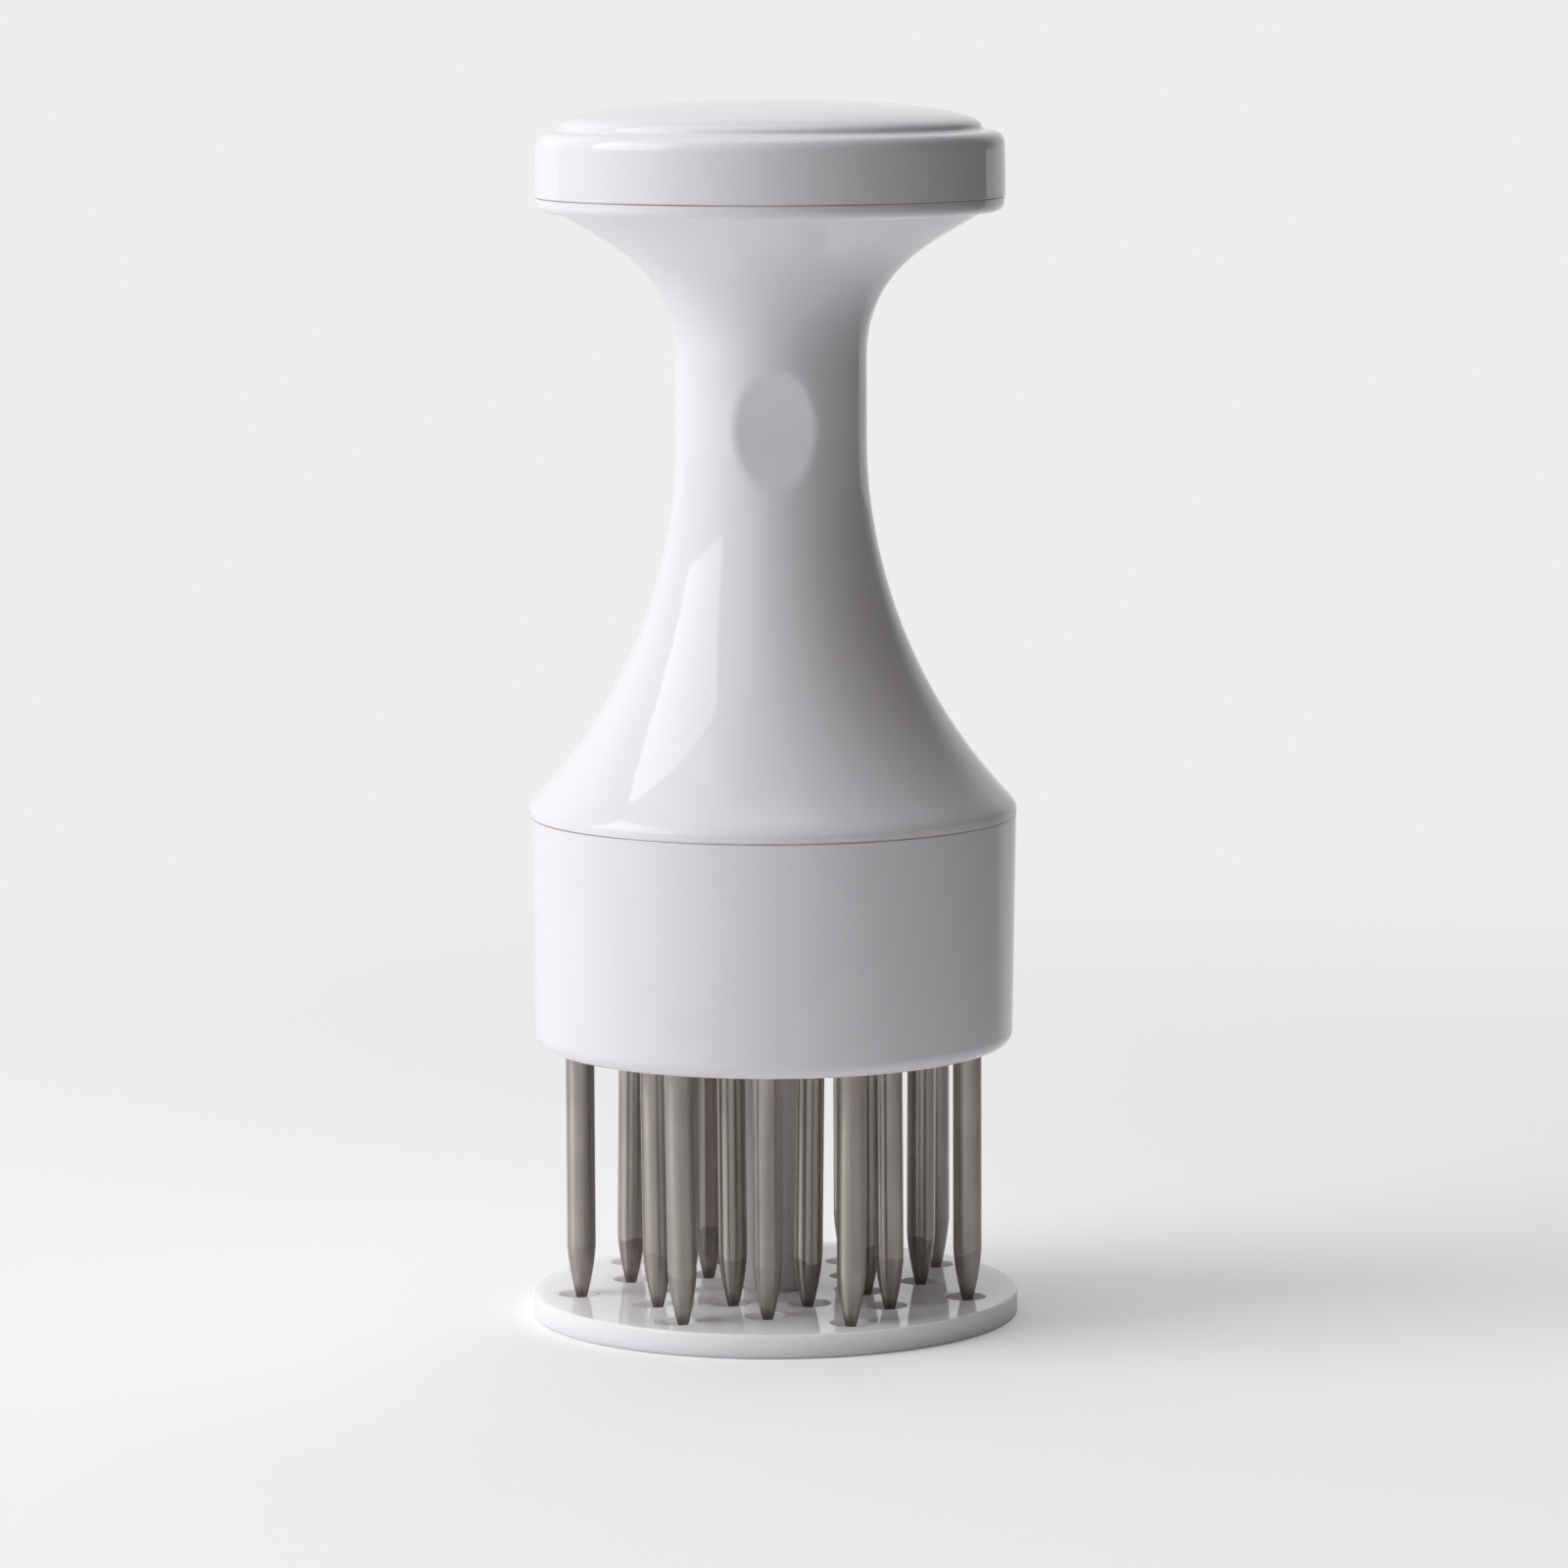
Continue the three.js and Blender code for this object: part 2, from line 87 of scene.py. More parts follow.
# Press plate and the screw that joins it to the stem
PLATE_EDGE = 0.35
PLATE_HOLE_RADIUS = 2.0
PLATE_HOLE_EDGE = 0.12
REGISTER_DEPTH = 0.5
REGISTER_RADIUS = 3.25
PILOT_RADIUS = 1.4
SHANK_RADIUS = 1.25
SINK_RADIUS = 2.6
SINK_GAP = 0.15
SINK_DEPTH = 1.3
CROSS_LENGTH = 2.4
CROSS_WIDTH = 0.6
CROSS_DEPTH = 0.7
CROSS_BASE_SHARE = 0.6

# Stem and spring
STEM_RADIUS = 3.1
STEM_EDGE = 0.3
COLLAR_THICKNESS = 2.4
SPIGOT_HEIGHT = 4.0
SPIGOT_RADIUS = 4.18
WIRE_RADIUS = 0.45
SPRING_COILS = 11

# Housing
HOUSING_WALL = 1.8
HOUSING_DRAFT = 0.35
HOUSING_EDGE = 1.5
HOUSING_RIM_EDGE = 0.12
HOUSING_FLOOR = 2.0
FLOOR_HOLE_RADIUS = 1.65
FLOOR_HOLE_EDGE = 0.15
STEM_HOLE_RADIUS = 3.4
BOSS_HEIGHT = 4.0
BOSS_WALL = 0.9
BOSS_SINK = 0.5

# Handle, from the seam upwards
HANDLE_WALL = 2.0
SEAM_GAP = 0.2
SEAM_SHOWN = 0.035
RIM_PROUD = 0.05
RIM_LAND = 0.5
RIM_HEIGHT = 1.85
RIM_SET = 0.95
RIM_EDGE = 0.1
BELL_HEIGHT = 36.4
BELL_TOP_PULL = 8.3
BELL_RIM_PULL = 16.6
BELL_RIM_DEGREES = 42.5
NECK_RADIUS = 9.4
NECK_LENGTH = 8.4
FLARE_HEIGHT = 14.2
FLARE_NECK_PULL = 9.6
FLARE_LIP_PULL = 4.0
FLARE_LIP_DEGREES = 52.0
LIP_HEIGHT = 1.3
LIP_ROUND = 1.0
LIP_OVERHANG = 1.1
LIP_EDGE = 0.1
WEB_RISE = 4.1
WEB_THICKNESS = 2.5
SPRING_BOSS_HEIGHT = 3.0
PLUG_WALL = 1.4
BEAD_HEIGHT = 0.6
BEAD_HALF_WIDTH = 1.2

# Gap between pieces that fit into each other
FIT_GAP = 0.3

# Oval thumb recess in the front of the neck, as a wide roller leaves it
RECESS_DEPTH = 0.9
RECESS_RADIUS = 17.5
RECESS_LIFT = 1.95
RECESS_TURN_DEGREES = 2.4
RECESS_ROUND = 0.22

# Cap
CAP_BACK = 0.1
CAP_WALL = 1.4
CAP_SKIRT = 6.5
CAP_DRAFT = 0.06
CAP_EDGE = 1.35
CAP_EDGE_FALL = 1.6
CAP_FOOT_EDGE = 0.1
CAP_LEDGE = 2.35
CAP_LEDGE_RISE = 0.22
CAP_LEDGE_ROUND = 0.5
CAP_STEP = 0.25
CAP_DOME_SHOULDER = 0.6
CAP_DOME_LEAN = 0.1
CAP_DOME_FLAT = 7.5
CAP_ROOF = 1.5
RING_WALL = 1.4

# How finely the pieces are turned
SHELL_STEPS = 256
STEM_STEPS = 128
HOLE_STEPS = 64
NEEDLE_STEPS = 48
CURVE_STEPS = 108
NECK_STEPS = 36
INSIDE_STRIDE = 4
DOME_STEPS = 32
BEND_STEPS = 16
ROUND_STEPS = 8
WIRE_STEPS = 12
COIL_STEPS = 48

# How meshes are joined, cut and shaded
OVERRUN = 1.0
ON_AXIS = 1e-6
CORNER_REACH_SHARE = 0.45
SHARP_DEGREES = 32.0
FLAT_FACE_WEIGHT = 100


def node_box(node):
    """The lowest and highest corner of a node of the frame, in millimetres."""
    low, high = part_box(node)
    return low / MM, high / MM


def middle_of(node):
    """The upright middle line of a node, as an (x, y) place in millimetres."""
    low, high = node_box(node)
    return (low.x + high.x) / 2, (low.y + high.y) / 2


housing_low, housing_high = node_box("lower_housing")
handle_low, handle_high = node_box("handle_shell")
cap_low, cap_high = node_box("top_cap")
stem_low, stem_high = node_box("press_stem")
spring_low, spring_high = node_box("return_spring")
plate_high = node_box("press_plate")[1]
screw_high = node_box("plate_screw")[1]

HOUSING_RADIUS = housing_high.x
HOUSING_BORE = HOUSING_RADIUS - HOUSING_WALL
PLUG_RADIUS = HOUSING_BORE - FIT_GAP
PLATE_RADIUS = plate_high.x
PLATE_TOP = plate_high.z
CAP_RADIUS = cap_high.x
CAP_BORE = CAP_RADIUS - CAP_WALL
RING_RADIUS = CAP_BORE - FIT_GAP
COLLAR_RADIUS = stem_high.x
COLLAR_TOP = stem_high.z - SPIGOT_HEIGHT
SINK_TOP = SINK_GAP + SINK_DEPTH
BELL_BASE = housing_high.z + SEAM_GAP
NECK_BASE = BELL_BASE + BELL_HEIGHT
NECK_TOP = NECK_BASE + NECK_LENGTH
NECK_BORE = NECK_RADIUS - HANDLE_WALL
SPRING_SEAT = NECK_TOP + WEB_RISE
WEB_TOP = SPRING_SEAT + WEB_THICKNESS
FLARE_TOP = NECK_TOP + FLARE_HEIGHT
FLANGE_TOP = FLARE_TOP + LIP_HEIGHT
LEDGE_HEIGHT = cap_low.z + CAP_SKIRT
PLUG_BEAD_HEIGHT = handle_low.z + BEAD_HALF_WIDTH
RING_BEAD_HEIGHT = (FLANGE_TOP + handle_high.z) / 2

NEEDLE_NAMES = sorted(
    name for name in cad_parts
    if name.startswith("needle_") and name[-1].isdigit()
)
NEEDLE_PLACES = {name: middle_of(name) for name in NEEDLE_NAMES}
NEEDLE_BASE = min(node_box(name)[0].z for name in NEEDLE_NAMES)
NEEDLE_HEAD_RADIUS = node_box(NEEDLE_NAMES[0])[1].x - NEEDLE_PLACES[NEEDLE_NAMES[0]][0]
CLAMP_SCREWS = [f"clamp_screw_{number}" for number in (1, 2, 3)]
BOSS_PLACES = [middle_of(name) for name in CLAMP_SCREWS]


# Outlines

def bezier(corners, steps):
    """Points on the curve that the corner points pull, its ends included."""
    degree = len(corners) - 1
    points = []
    for step in range(steps + 1):
        t = step / steps
        weights = [math.comb(degree, i) * t**i * (1 - t) ** (degree - i) for i in range(degree + 1)]
        points.append(tuple(sum(w * c[axis] for w, c in zip(weights, corners)) for axis in (0, 1)))
    return points


def arc(centre, radius, start, end):
    """Points on an arc, with its angles in degrees from the outward direction."""
    points = []
    for step in range(ROUND_STEPS + 1):
        angle = math.radians(start + (end - start) * step / ROUND_STEPS)
        points.append((centre[0] + radius * math.cos(angle), centre[1] + radius * math.sin(angle)))
    return points


def rounded(outline):
    """The outline, with each corner rounded that has a radius as its third value."""
    points = []
    for index, corner in enumerate(outline):
        here = corner[:2]
        if len(corner) == 2:
            points.append(here)
            continue
        before = Vector(outline[index - 1][:2]) - Vector(here)
        after = Vector(outline[(index + 1) % len(outline)][:2]) - Vector(here)
        most = CORNER_REACH_SHARE * min(before.length, after.length)
        reach = min(corner[2] / math.tan(before.angle(after) / 2), most)
        start = Vector(here) + before.normalized() * reach
        end = Vector(here) + after.normalized() * reach
        points += bezier([start, here, end], ROUND_STEPS)
    return points


def shifted(points, distance):
    """An outline's points moved to its left side by a distance."""
    moved = []
    for index, here in enumerate(points):
        before = Vector(points[max(index - 1, 0)])
        after = Vector(points[min(index + 1, len(points) - 1)])
        along = (after - before).normalized()
        moved.append((here[0] - along.y * distance, here[1] + along.x * distance))
    return moved


def bead(radius, height):
    """A rounded ring that stands out from a wall, from its lower edge to its upper one."""
    low = (radius, height - BEAD_HALF_WIDTH)
    high = (radius, height + BEAD_HALF_WIDTH)
    return bezier([low, (radius + 2 * BEAD_HEIGHT, height), high], ROUND_STEPS)


# Meshes

def smooth(mesh):
    """Smooth faces, with edges kept sharp where they turn by more than a rounded edge does."""
    mesh.shade_smooth()
    mesh.set_sharp_from_angle(angle=math.radians(SHARP_DEGREES))


def mesh_of(form, name):
    """A bmesh in millimetres as a smooth mesh in metres."""
    bmesh.ops.recalc_face_normals(form, faces=form.faces)
    bmesh.ops.scale(form, vec=(MM, MM, MM), verts=form.verts)
    mesh = bpy.data.meshes.new(name)
    form.to_mesh(mesh)
    form.free()
    smooth(mesh)
    return mesh


def link(data, name):
    """A mesh, a light or a camera as an object of the scene."""
    made = bpy.data.objects.new(name, data)
    bpy.context.scene.collection.objects.link(made)
    return made


def turned(outline, steps, place=(0, 0)):
    """An outline of radius and height, from axis to axis, turned about an upright line."""
    form = bmesh.new()
    rings = []
    for radius, height in outline:
        if radius < ON_AXIS:
            rings.append([form.verts.new((place[0], place[1], height))])
            continue
        ring = []
        for step in range(steps):
            angle = 2 * math.pi * step / steps
            x = place[0] + radius * math.cos(angle)
            y = place[1] + radius * math.sin(angle)
            ring.append(form.verts.new((x, y, height)))
        rings.append(ring)
    for low, high in zip(rings, rings[1:]):
        for step in range(steps):
            beside = (step + 1) % steps
            corners = [low[step % len(low)], low[beside % len(low)]]
            corners += [high[beside % len(high)], high[step % len(high)]]
            face = list(dict.fromkeys(corners))
            if len(face) > 2:
                form.faces.new(face)
    return form


def rod(radius, base, top, place):
    """A plain cylinder between two heights."""
    return turned([(0, base), (radius, base), (radius, top), (0, top)], HOLE_STEPS, place)


def drill(radius, base, top, edge, place=(0, 0)):
    """The form that cuts a hole between two faces, and rounds its mouths by an edge."""
    mouth = radius + edge
    outline = [(0, base - OVERRUN), (mouth, base - OVERRUN)]
    outline += arc((mouth, base + edge), edge, 270, 180)
    outline += arc((mouth, top - edge), edge, 180, 90)
    outline += [(mouth, top + OVERRUN), (0, top + OVERRUN)]
    return turned(outline, HOLE_STEPS, place)


def needle_holes(radius, base, top, edge):
    """The forms that cut a hole for each needle."""
    return [drill(radius, base, top, edge, place) for place in NEEDLE_PLACES.values()]


def joined(forms):
    """Several bmeshes as one."""
    whole = bmesh.new()
    for form in forms:
        part = bpy.data.meshes.new("part")
        form.to_mesh(part)
        form.free()
        whole.from_mesh(part)
        bpy.data.meshes.remove(part)
    return whole


def apply_modifiers(target):
    """Replaces an object's mesh by what its modifiers make of it."""
    graph = bpy.context.evaluated_depsgraph_get()
    made = bpy.data.meshes.new_from_object(target.evaluated_get(graph))
    target.modifiers.clear()
    old = target.data
    target.data = made
    made.name = target.name
    bpy.data.meshes.remove(old)


def boolean(target, form, operation):
    """Joins or cuts an object with a bmesh, and leaves a plain mesh."""
    tool = link(mesh_of(form, "tool"), "tool")
    change = target.modifiers.new("change", "BOOLEAN")
    change.object = tool
    change.operation = operation
    change.solver = "EXACT"
    change.use_self = False
    apply_modifiers(target)
    smooth(target.data)
    bpy.data.objects.remove(tool)


def weigh_normals(target):
    """Lets the large flat faces set the shading beside their rounded edges."""
    weigh = target.modifiers.new("weigh", "WEIGHTED_NORMAL")
    weigh.keep_sharp = True
    weigh.weight = FLAT_FACE_WEIGHT
    apply_modifiers(target)


def finish_piece(piece, body, material, slot, *nodes):
    """Gives a piece its finish, and lets it stand for its nodes and ride on its body."""
    piece.data.materials.clear()
    piece.data.materials.append(material)
    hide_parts(*nodes)
    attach(piece, body)
    return piece


# Node materials

# The colour sockets of a Mix node, by their places
MIX_FIRST, MIX_SECOND, MIX_RESULT = 6, 7, 2


class Recipe:
    """Adds the nodes of one material or world and links them."""

    def __init__(self, owner):
        owner.use_nodes = True
        self.tree = owner.node_tree
        self.tree.nodes.clear()

    def node(self, kind, inputs=None, **settings):
        """A node with some of its settings and inputs, by their names."""
        made = self.tree.nodes.new(f"ShaderNode{kind}")
        for key, value in settings.items():
            setattr(made, key, value)
        for key, value in (inputs or {}).items():
            self.feed(made.inputs[key], value)
        return made

    def feed(self, socket, value):
        """Links a socket to an output, or sets its value."""
        if isinstance(value, bpy.types.NodeSocket):
            self.tree.links.new(value, socket)
        else:
            socket.default_value = value

    def math(self, operation, *values, clamp=False):
        """The output of a Math node."""
        made = self.node("Math", dict(enumerate(values)), operation=operation, use_clamp=clamp)
        return made.outputs[0]

    def ramp(self, value, spread, to=(0.0, 1.0)):
        """A value mapped smoothly from one range to another."""
        inputs = {"Value": value, "From Min": spread[0], "From Max": spread[1]}
        inputs.update({"To Min": to[0], "To Max": to[1]})
        return self.node("MapRange", inputs, interpolation_type="SMOOTHSTEP").outputs[0]

    def noise(self, place, scale, detail=2.0, roughness=0.5):
        """The value of a noise texture."""
        inputs = {"Vector": place, "Scale": scale, "Detail": detail, "Roughness": roughness}
        return self.node("TexNoise", inputs).outputs[0]

    def blend(self, share, first, second):
        """A mix of two colours."""
        inputs = {"Factor": share, MIX_FIRST: first, MIX_SECOND: second}
        return self.node("Mix", inputs, data_type="RGBA").outputs[MIX_RESULT]

    def bump(self, height, distance, normal=None):
        """A normal bumped by a height times a distance in metres, perhaps on top of another bump."""
        inputs = {"Height": height, "Distance": distance}
        if normal is not None:
            inputs["Normal"] = normal
        return self.node("Bump", inputs).outputs[0]

    def stretched(self, place, scale):
        """A place scaled along each axis."""
        return self.node("Mapping", {"Vector": place, "Scale": scale}).outputs[0]

    def height_of(self, place):
        """A place's height."""
        return self.node("SeparateXYZ", {"Vector": place}).outputs["Z"]


def surface(name):
    """A new material with its recipe, object coordinates and shader."""
    material = bpy.data.materials.new(name)
    recipe = Recipe(material)
    place = recipe.node("TexCoord").outputs["Object"]
    shader = recipe.node("BsdfPrincipled")
    recipe.node("OutputMaterial", {"Surface": shader.outputs[0]})
    return material, recipe, place, shader


# In the values below, a scale is the number of a noise's features in a metre, and a spread is
# the range of its values that is used
NOISE_MIDDLE = 0.5

# White plastic
WHITE = (0.875, 0.857, 0.893, 1)
WHITE_SHADE = (0.85, 0.83, 0.868, 1)
# The plate's whites, lighter than the shell's as painted light for the light the table bounces onto it
PLATE_BRIGHTENED_WHITE = (0.92, 0.905, 0.93, 1)
PLATE_BRIGHTENED_SHADE = (0.90, 0.885, 0.91, 1)
# The stem's whites, darkened as painted shade for its place among the needles under the housing
STEM_PAINTED_SHADE_WHITE = (0.70, 0.655, 0.665, 1)
STEM_PAINTED_SHADE_GREY = (0.66, 0.61, 0.62, 1)
PLASTIC_IOR = 1.47
PLASTIC_SHINE = 0.29
PLASTIC_CLOUD_SCALE = 60.0
SMUDGE_SCALE = 240.0
SMUDGE_SPREAD = (0.3, 0.75)
SMUDGE_ROUGHNESS = (0.05, 0.09)
PLASTIC_WAVE_SCALE = 170.0
PLASTIC_WAVE = 0.004
PLASTIC_GRAIN_SCALE = 2200.0
PLASTIC_GRAIN = 0.0003
PLATE_SEEP = 1.0
SEEP_REACH = 2.2
SEEP_COLOURS = (1.0, 0.9, 0.82)

# Dust and painted shade in the seams, which fade between two distances from a seam's middle
SEAM_DUST_AND_SHADE = (0.42, 0.34, 0.28, 1)
SEAM_DUST_AND_SHADE_FULL = 0.04
SEAM_DUST_AND_SHADE_END = 0.18
SEAM_DUST_AND_SHADE_SPREAD = (0.3, 0.7)
SEAM_DUST_AND_SHADE_SHARE = (0.1, 0.45)

# Plastic of the inner pieces
INNER_WHITE = (0.74, 0.72, 0.67, 1)
INNER_SHADE = (0.68, 0.66, 0.6, 1)
INNER_CLOUD_SCALE = 90.0
INNER_GRAIN_SCALE = 1800.0
INNER_GRAIN_SPREAD = (0.2, 0.8)
INNER_GRAIN = 0.02
INNER_ROUGHNESS = (0.42, 0.58)

# Streaks of every steel: how much their finest details count, and how their strength is raised
STREAK_FINENESS = 0.6
STREAK_GAIN = 0.9
STREAK_START = -0.4
STREAK_SPREAD = (0.25, 0.75)
STEEL_CLOUD_SCALE = 160.0

# Needle steel: its drawn shaft, with warmer streaks
DRAWN_ALONG = (0.0, 0.0, 1.0)
DRAWN_STRETCH = 0.85
WARM_STREAK = (0.40, 0.32, 0.28, 1)
WARM_STREAK_SCALE = 700.0
WARM_STREAK_STRETCH = (1.0, 1.0, 0.02)
WARM_STREAK_SPREAD = (0.45, 0.75)
WARM_STREAK_SHARE = (0.0, 0.6)

# Needle points: darkened up to an uneven edge as painted shade for the shadowed plate they reflect,
# more on some needles than on others
SHADED_POINT_BRIGHT = (0.36, 0.32, 0.30, 1)
SHADED_POINT_DARK = (0.27, 0.235, 0.215, 1)
POINT_MARK_SCALE = 1500.0
POINT_MARK_STRETCH = (1.0, 1.0, 0.25)
POINT_MARK_SPREAD = (0.3, 0.7)
POINT_EDGE_SCALE = 190.0
POINT_EDGE_SWING = 5.0
POINT_EDGE_BELOW = 0.25
POINT_EDGE_ABOVE = 0.05
POINT_CHOICE_SCALE = 90.0
POINT_CHOICE_SPREAD = (0.4, 0.6)
POINT_CHOICE_SHARE = (0.35, 1.0)
ACROSS_ONLY = (1.0, 1.0, 0.0)

# Painted shade on the needles' tips, which fades between two heights above them
TIP_PAINTED_SHADE = (0.17, 0.135, 0.12, 1)
TIP_SHADE_FULL = 0.3
TIP_SHADE_END = 1.6
TIP_SHADE_SHARE = 0.8


def seam_dust_and_shade_share(recipe, place):
    """A share that is one in the two seams, where they are darkened by dust and painted shade."""
    height = recipe.height_of(place)
    shares = []
    for seam in (housing_high.z + SEAM_SHOWN / 2, cap_low.z - SEAM_SHOWN / 2):
        away = recipe.math("ABSOLUTE", recipe.math("SUBTRACT", height, seam * MM))
        shares.append(recipe.ramp(away, (SEAM_DUST_AND_SHADE_FULL * MM, SEAM_DUST_AND_SHADE_END * MM), (1.0, 0.0)))
    return recipe.math("MAXIMUM", *shares)


def white_plastic(name, colours, seep=0.0):
    """Glossy white moulded plastic, with faint waves, and seams darkened by dust and painted shade."""
    material, recipe, place, shader = surface(name)
    cloud = recipe.noise(place, PLASTIC_CLOUD_SCALE, detail=3.0)
    darkening_share = recipe.ramp(cloud, SEAM_DUST_AND_SHADE_SPREAD, SEAM_DUST_AND_SHADE_SHARE)
    seam_darkening = recipe.math("MULTIPLY", seam_dust_and_shade_share(recipe, place), darkening_share)
    # The seams are darkened by dust and painted shade
    tint = recipe.blend(seam_darkening, recipe.blend(cloud, *colours), SEAM_DUST_AND_SHADE)
    recipe.feed(shader.inputs["Base Color"], tint)
    smudge = recipe.noise(place, SMUDGE_SCALE, detail=4.0)
    recipe.feed(shader.inputs["Roughness"], recipe.ramp(smudge, SMUDGE_SPREAD, SMUDGE_ROUGHNESS))
    wave = recipe.bump(recipe.noise(place, PLASTIC_WAVE_SCALE, detail=1.0), PLASTIC_WAVE * MM)
    grain = recipe.bump(recipe.noise(place, PLASTIC_GRAIN_SCALE), PLASTIC_GRAIN * MM, normal=wave)
    recipe.feed(shader.inputs["Normal"], grain)
    shader.inputs["IOR"].default_value = PLASTIC_IOR
    shader.inputs["Specular IOR Level"].default_value = PLASTIC_SHINE
    shader.inputs["Subsurface Weight"].default_value = seep
    shader.inputs["Subsurface Radius"].default_value = SEEP_COLOURS
    shader.inputs["Subsurface Scale"].default_value = SEEP_REACH * MM
    return material


def inner_plastic():
    """Plain off-white moulded plastic with a fine matt grain."""
    material, recipe, place, shader = surface("inner_plastic")
    cloud = recipe.noise(place, INNER_CLOUD_SCALE, detail=4.0)
    recipe.feed(shader.inputs["Base Color"], recipe.blend(cloud, INNER_WHITE, INNER_SHADE))
    grain = recipe.noise(place, INNER_GRAIN_SCALE, detail=4.0)
    recipe.feed(shader.inputs["Roughness"], recipe.ramp(grain, INNER_GRAIN_SPREAD, INNER_ROUGHNESS))
    recipe.feed(shader.inputs["Normal"], recipe.bump(grain, INNER_GRAIN * MM))
    return material


def streaked_steel(recipe, place, shader, bright, dark, rough, scale, stretch, depth):
    """Makes a shader streaky bare steel, and gives back the colour of its streaks."""
    lines = recipe.noise(recipe.stretched(place, stretch), scale, detail=4.0, roughness=STREAK_FINENESS)
    cloud = recipe.noise(place, STEEL_CLOUD_SCALE, detail=3.0)
    share = recipe.math("ADD", lines, cloud)
    share = recipe.math("MULTIPLY_ADD", share, STREAK_GAIN, STREAK_START, clamp=True)
    recipe.feed(shader.inputs["Roughness"], recipe.ramp(lines, STREAK_SPREAD, rough))
    recipe.feed(shader.inputs["Normal"], recipe.bump(lines, depth * MM))
    shader.inputs["Metallic"].default_value = 1.0
    return recipe.blend(share, dark, bright)


def point_with_painted_shade(recipe, place, shaft):
    """The shaft's colour with a needle's point and tip darkened by painted shade."""
    height = recipe.height_of(place)
    flat = recipe.stretched(place, ACROSS_ONLY)
    swing = recipe.math("SUBTRACT", recipe.noise(flat, POINT_EDGE_SCALE), NOISE_MIDDLE)
    swing = recipe.math("MULTIPLY", swing, POINT_EDGE_SWING * MM)
    above = recipe.math("SUBTRACT", height, (NEEDLE_BASE + NEEDLE_TAPER) * MM)
    above = recipe.math("SUBTRACT", above, swing)
    edge = recipe.ramp(above, (-POINT_EDGE_BELOW * MM, POINT_EDGE_ABOVE * MM), (1.0, 0.0))
    choice = recipe.noise(flat, POINT_CHOICE_SCALE, detail=0.0)
    # The point is darkened as painted shade, on some needles more than on others
    point_shade_share = recipe.math("MULTIPLY", edge, recipe.ramp(choice, POINT_CHOICE_SPREAD, POINT_CHOICE_SHARE))
    marks = recipe.noise(recipe.stretched(place, POINT_MARK_STRETCH), POINT_MARK_SCALE, detail=3.0)
    point = recipe.blend(recipe.ramp(marks, POINT_MARK_SPREAD), SHADED_POINT_DARK, SHADED_POINT_BRIGHT)
    # Painted shade on the needle just above its tip
    tip_shade_heights = ((NEEDLE_BASE + TIP_SHADE_FULL) * MM, (NEEDLE_BASE + TIP_SHADE_END) * MM)
    darkening_share = recipe.ramp(height, tip_shade_heights, (TIP_SHADE_SHARE, 0.0))
    return recipe.blend(darkening_share, recipe.blend(point_shade_share, shaft, point), TIP_PAINTED_SHADE)


def needle_steel():
    """Satin stainless steel drawn lengthwise, with points and tips darkened by painted shade."""
    material, recipe, place, shader = surface("needle_steel")
    shaft = streaked_steel(
        recipe,
        place,
        shader,
        bright=(0.62, 0.582, 0.533, 1),
        dark=(0.345, 0.32, 0.29, 1),
        rough=(0.31, 0.43),
        scale=1400.0,
        stretch=(1.0, 1.0, 0.03),
        depth=0.008,
    )
    warm = recipe.noise(recipe.stretched(place, WARM_STREAK_STRETCH), WARM_STREAK_SCALE)
    shaft = recipe.blend(recipe.ramp(warm, WARM_STREAK_SPREAD, WARM_STREAK_SHARE), shaft, WARM_STREAK)
    recipe.feed(shader.inputs["Base Color"], point_with_painted_shade(recipe, place, shaft))
    along = recipe.node("CombineXYZ", dict(zip("XYZ", DRAWN_ALONG))).outputs[0]
    recipe.feed(shader.inputs["Tangent"], along)
    shader.inputs["Anisotropic"].default_value = DRAWN_STRETCH
    return material


def screw_steel():
    """Zinc plated steel with a fine cloudy grain."""
    material, recipe, place, shader = surface("screw_steel")
    tint = streaked_steel(
        recipe,
        place,
        shader,
        bright=(0.72, 0.72, 0.71, 1),
        dark=(0.55, 0.55, 0.55, 1),
        rough=(0.25, 0.4),
        scale=1500.0,
        stretch=(1.0, 1.0, 1.0),
        depth=0.01,
    )
    recipe.feed(shader.inputs["Base Color"], tint)
    return material


def spring_steel():
    """Bright drawn spring wire."""
    material, recipe, place, shader = surface("spring_steel")
    tint = streaked_steel(
        recipe,
        place,
        shader,
        bright=(0.58, 0.58, 0.59, 1),
        dark=(0.42, 0.42, 0.43, 1),
        rough=(0.2, 0.35),
        scale=2500.0,
        stretch=(0.2, 0.2, 1.0),
        depth=0.01,
    )
    recipe.feed(shader.inputs["Base Color"], tint)
    return material


# Handle

def bell_curve():
    """The outer line of the bell, from its rim up to the neck."""
    slope = math.radians(BELL_RIM_DEGREES)
    foot = (HOUSING_RADIUS + RIM_PROUD - RIM_SET, BELL_BASE + RIM_HEIGHT)
    foot_pull = (foot[0] - BELL_RIM_PULL * math.sin(slope), foot[1] + BELL_RIM_PULL * math.cos(slope))
    neck = (NECK_RADIUS, NECK_BASE)
    neck_pull = (NECK_RADIUS, NECK_BASE - BELL_TOP_PULL)
    return bezier([foot, foot_pull, neck_pull, neck], CURVE_STEPS)


def rim_curve():
    """The rounded rim between the seam and the bell."""
    radius = HOUSING_RADIUS + RIM_PROUD
    foot = (radius - RIM_SET, BELL_BASE + RIM_HEIGHT)
    turn = (radius, foot[1] - RIM_SET / math.tan(math.radians(BELL_RIM_DEGREES)))
    return bezier([(radius, BELL_BASE + RIM_LAND), turn, foot], BEND_STEPS)


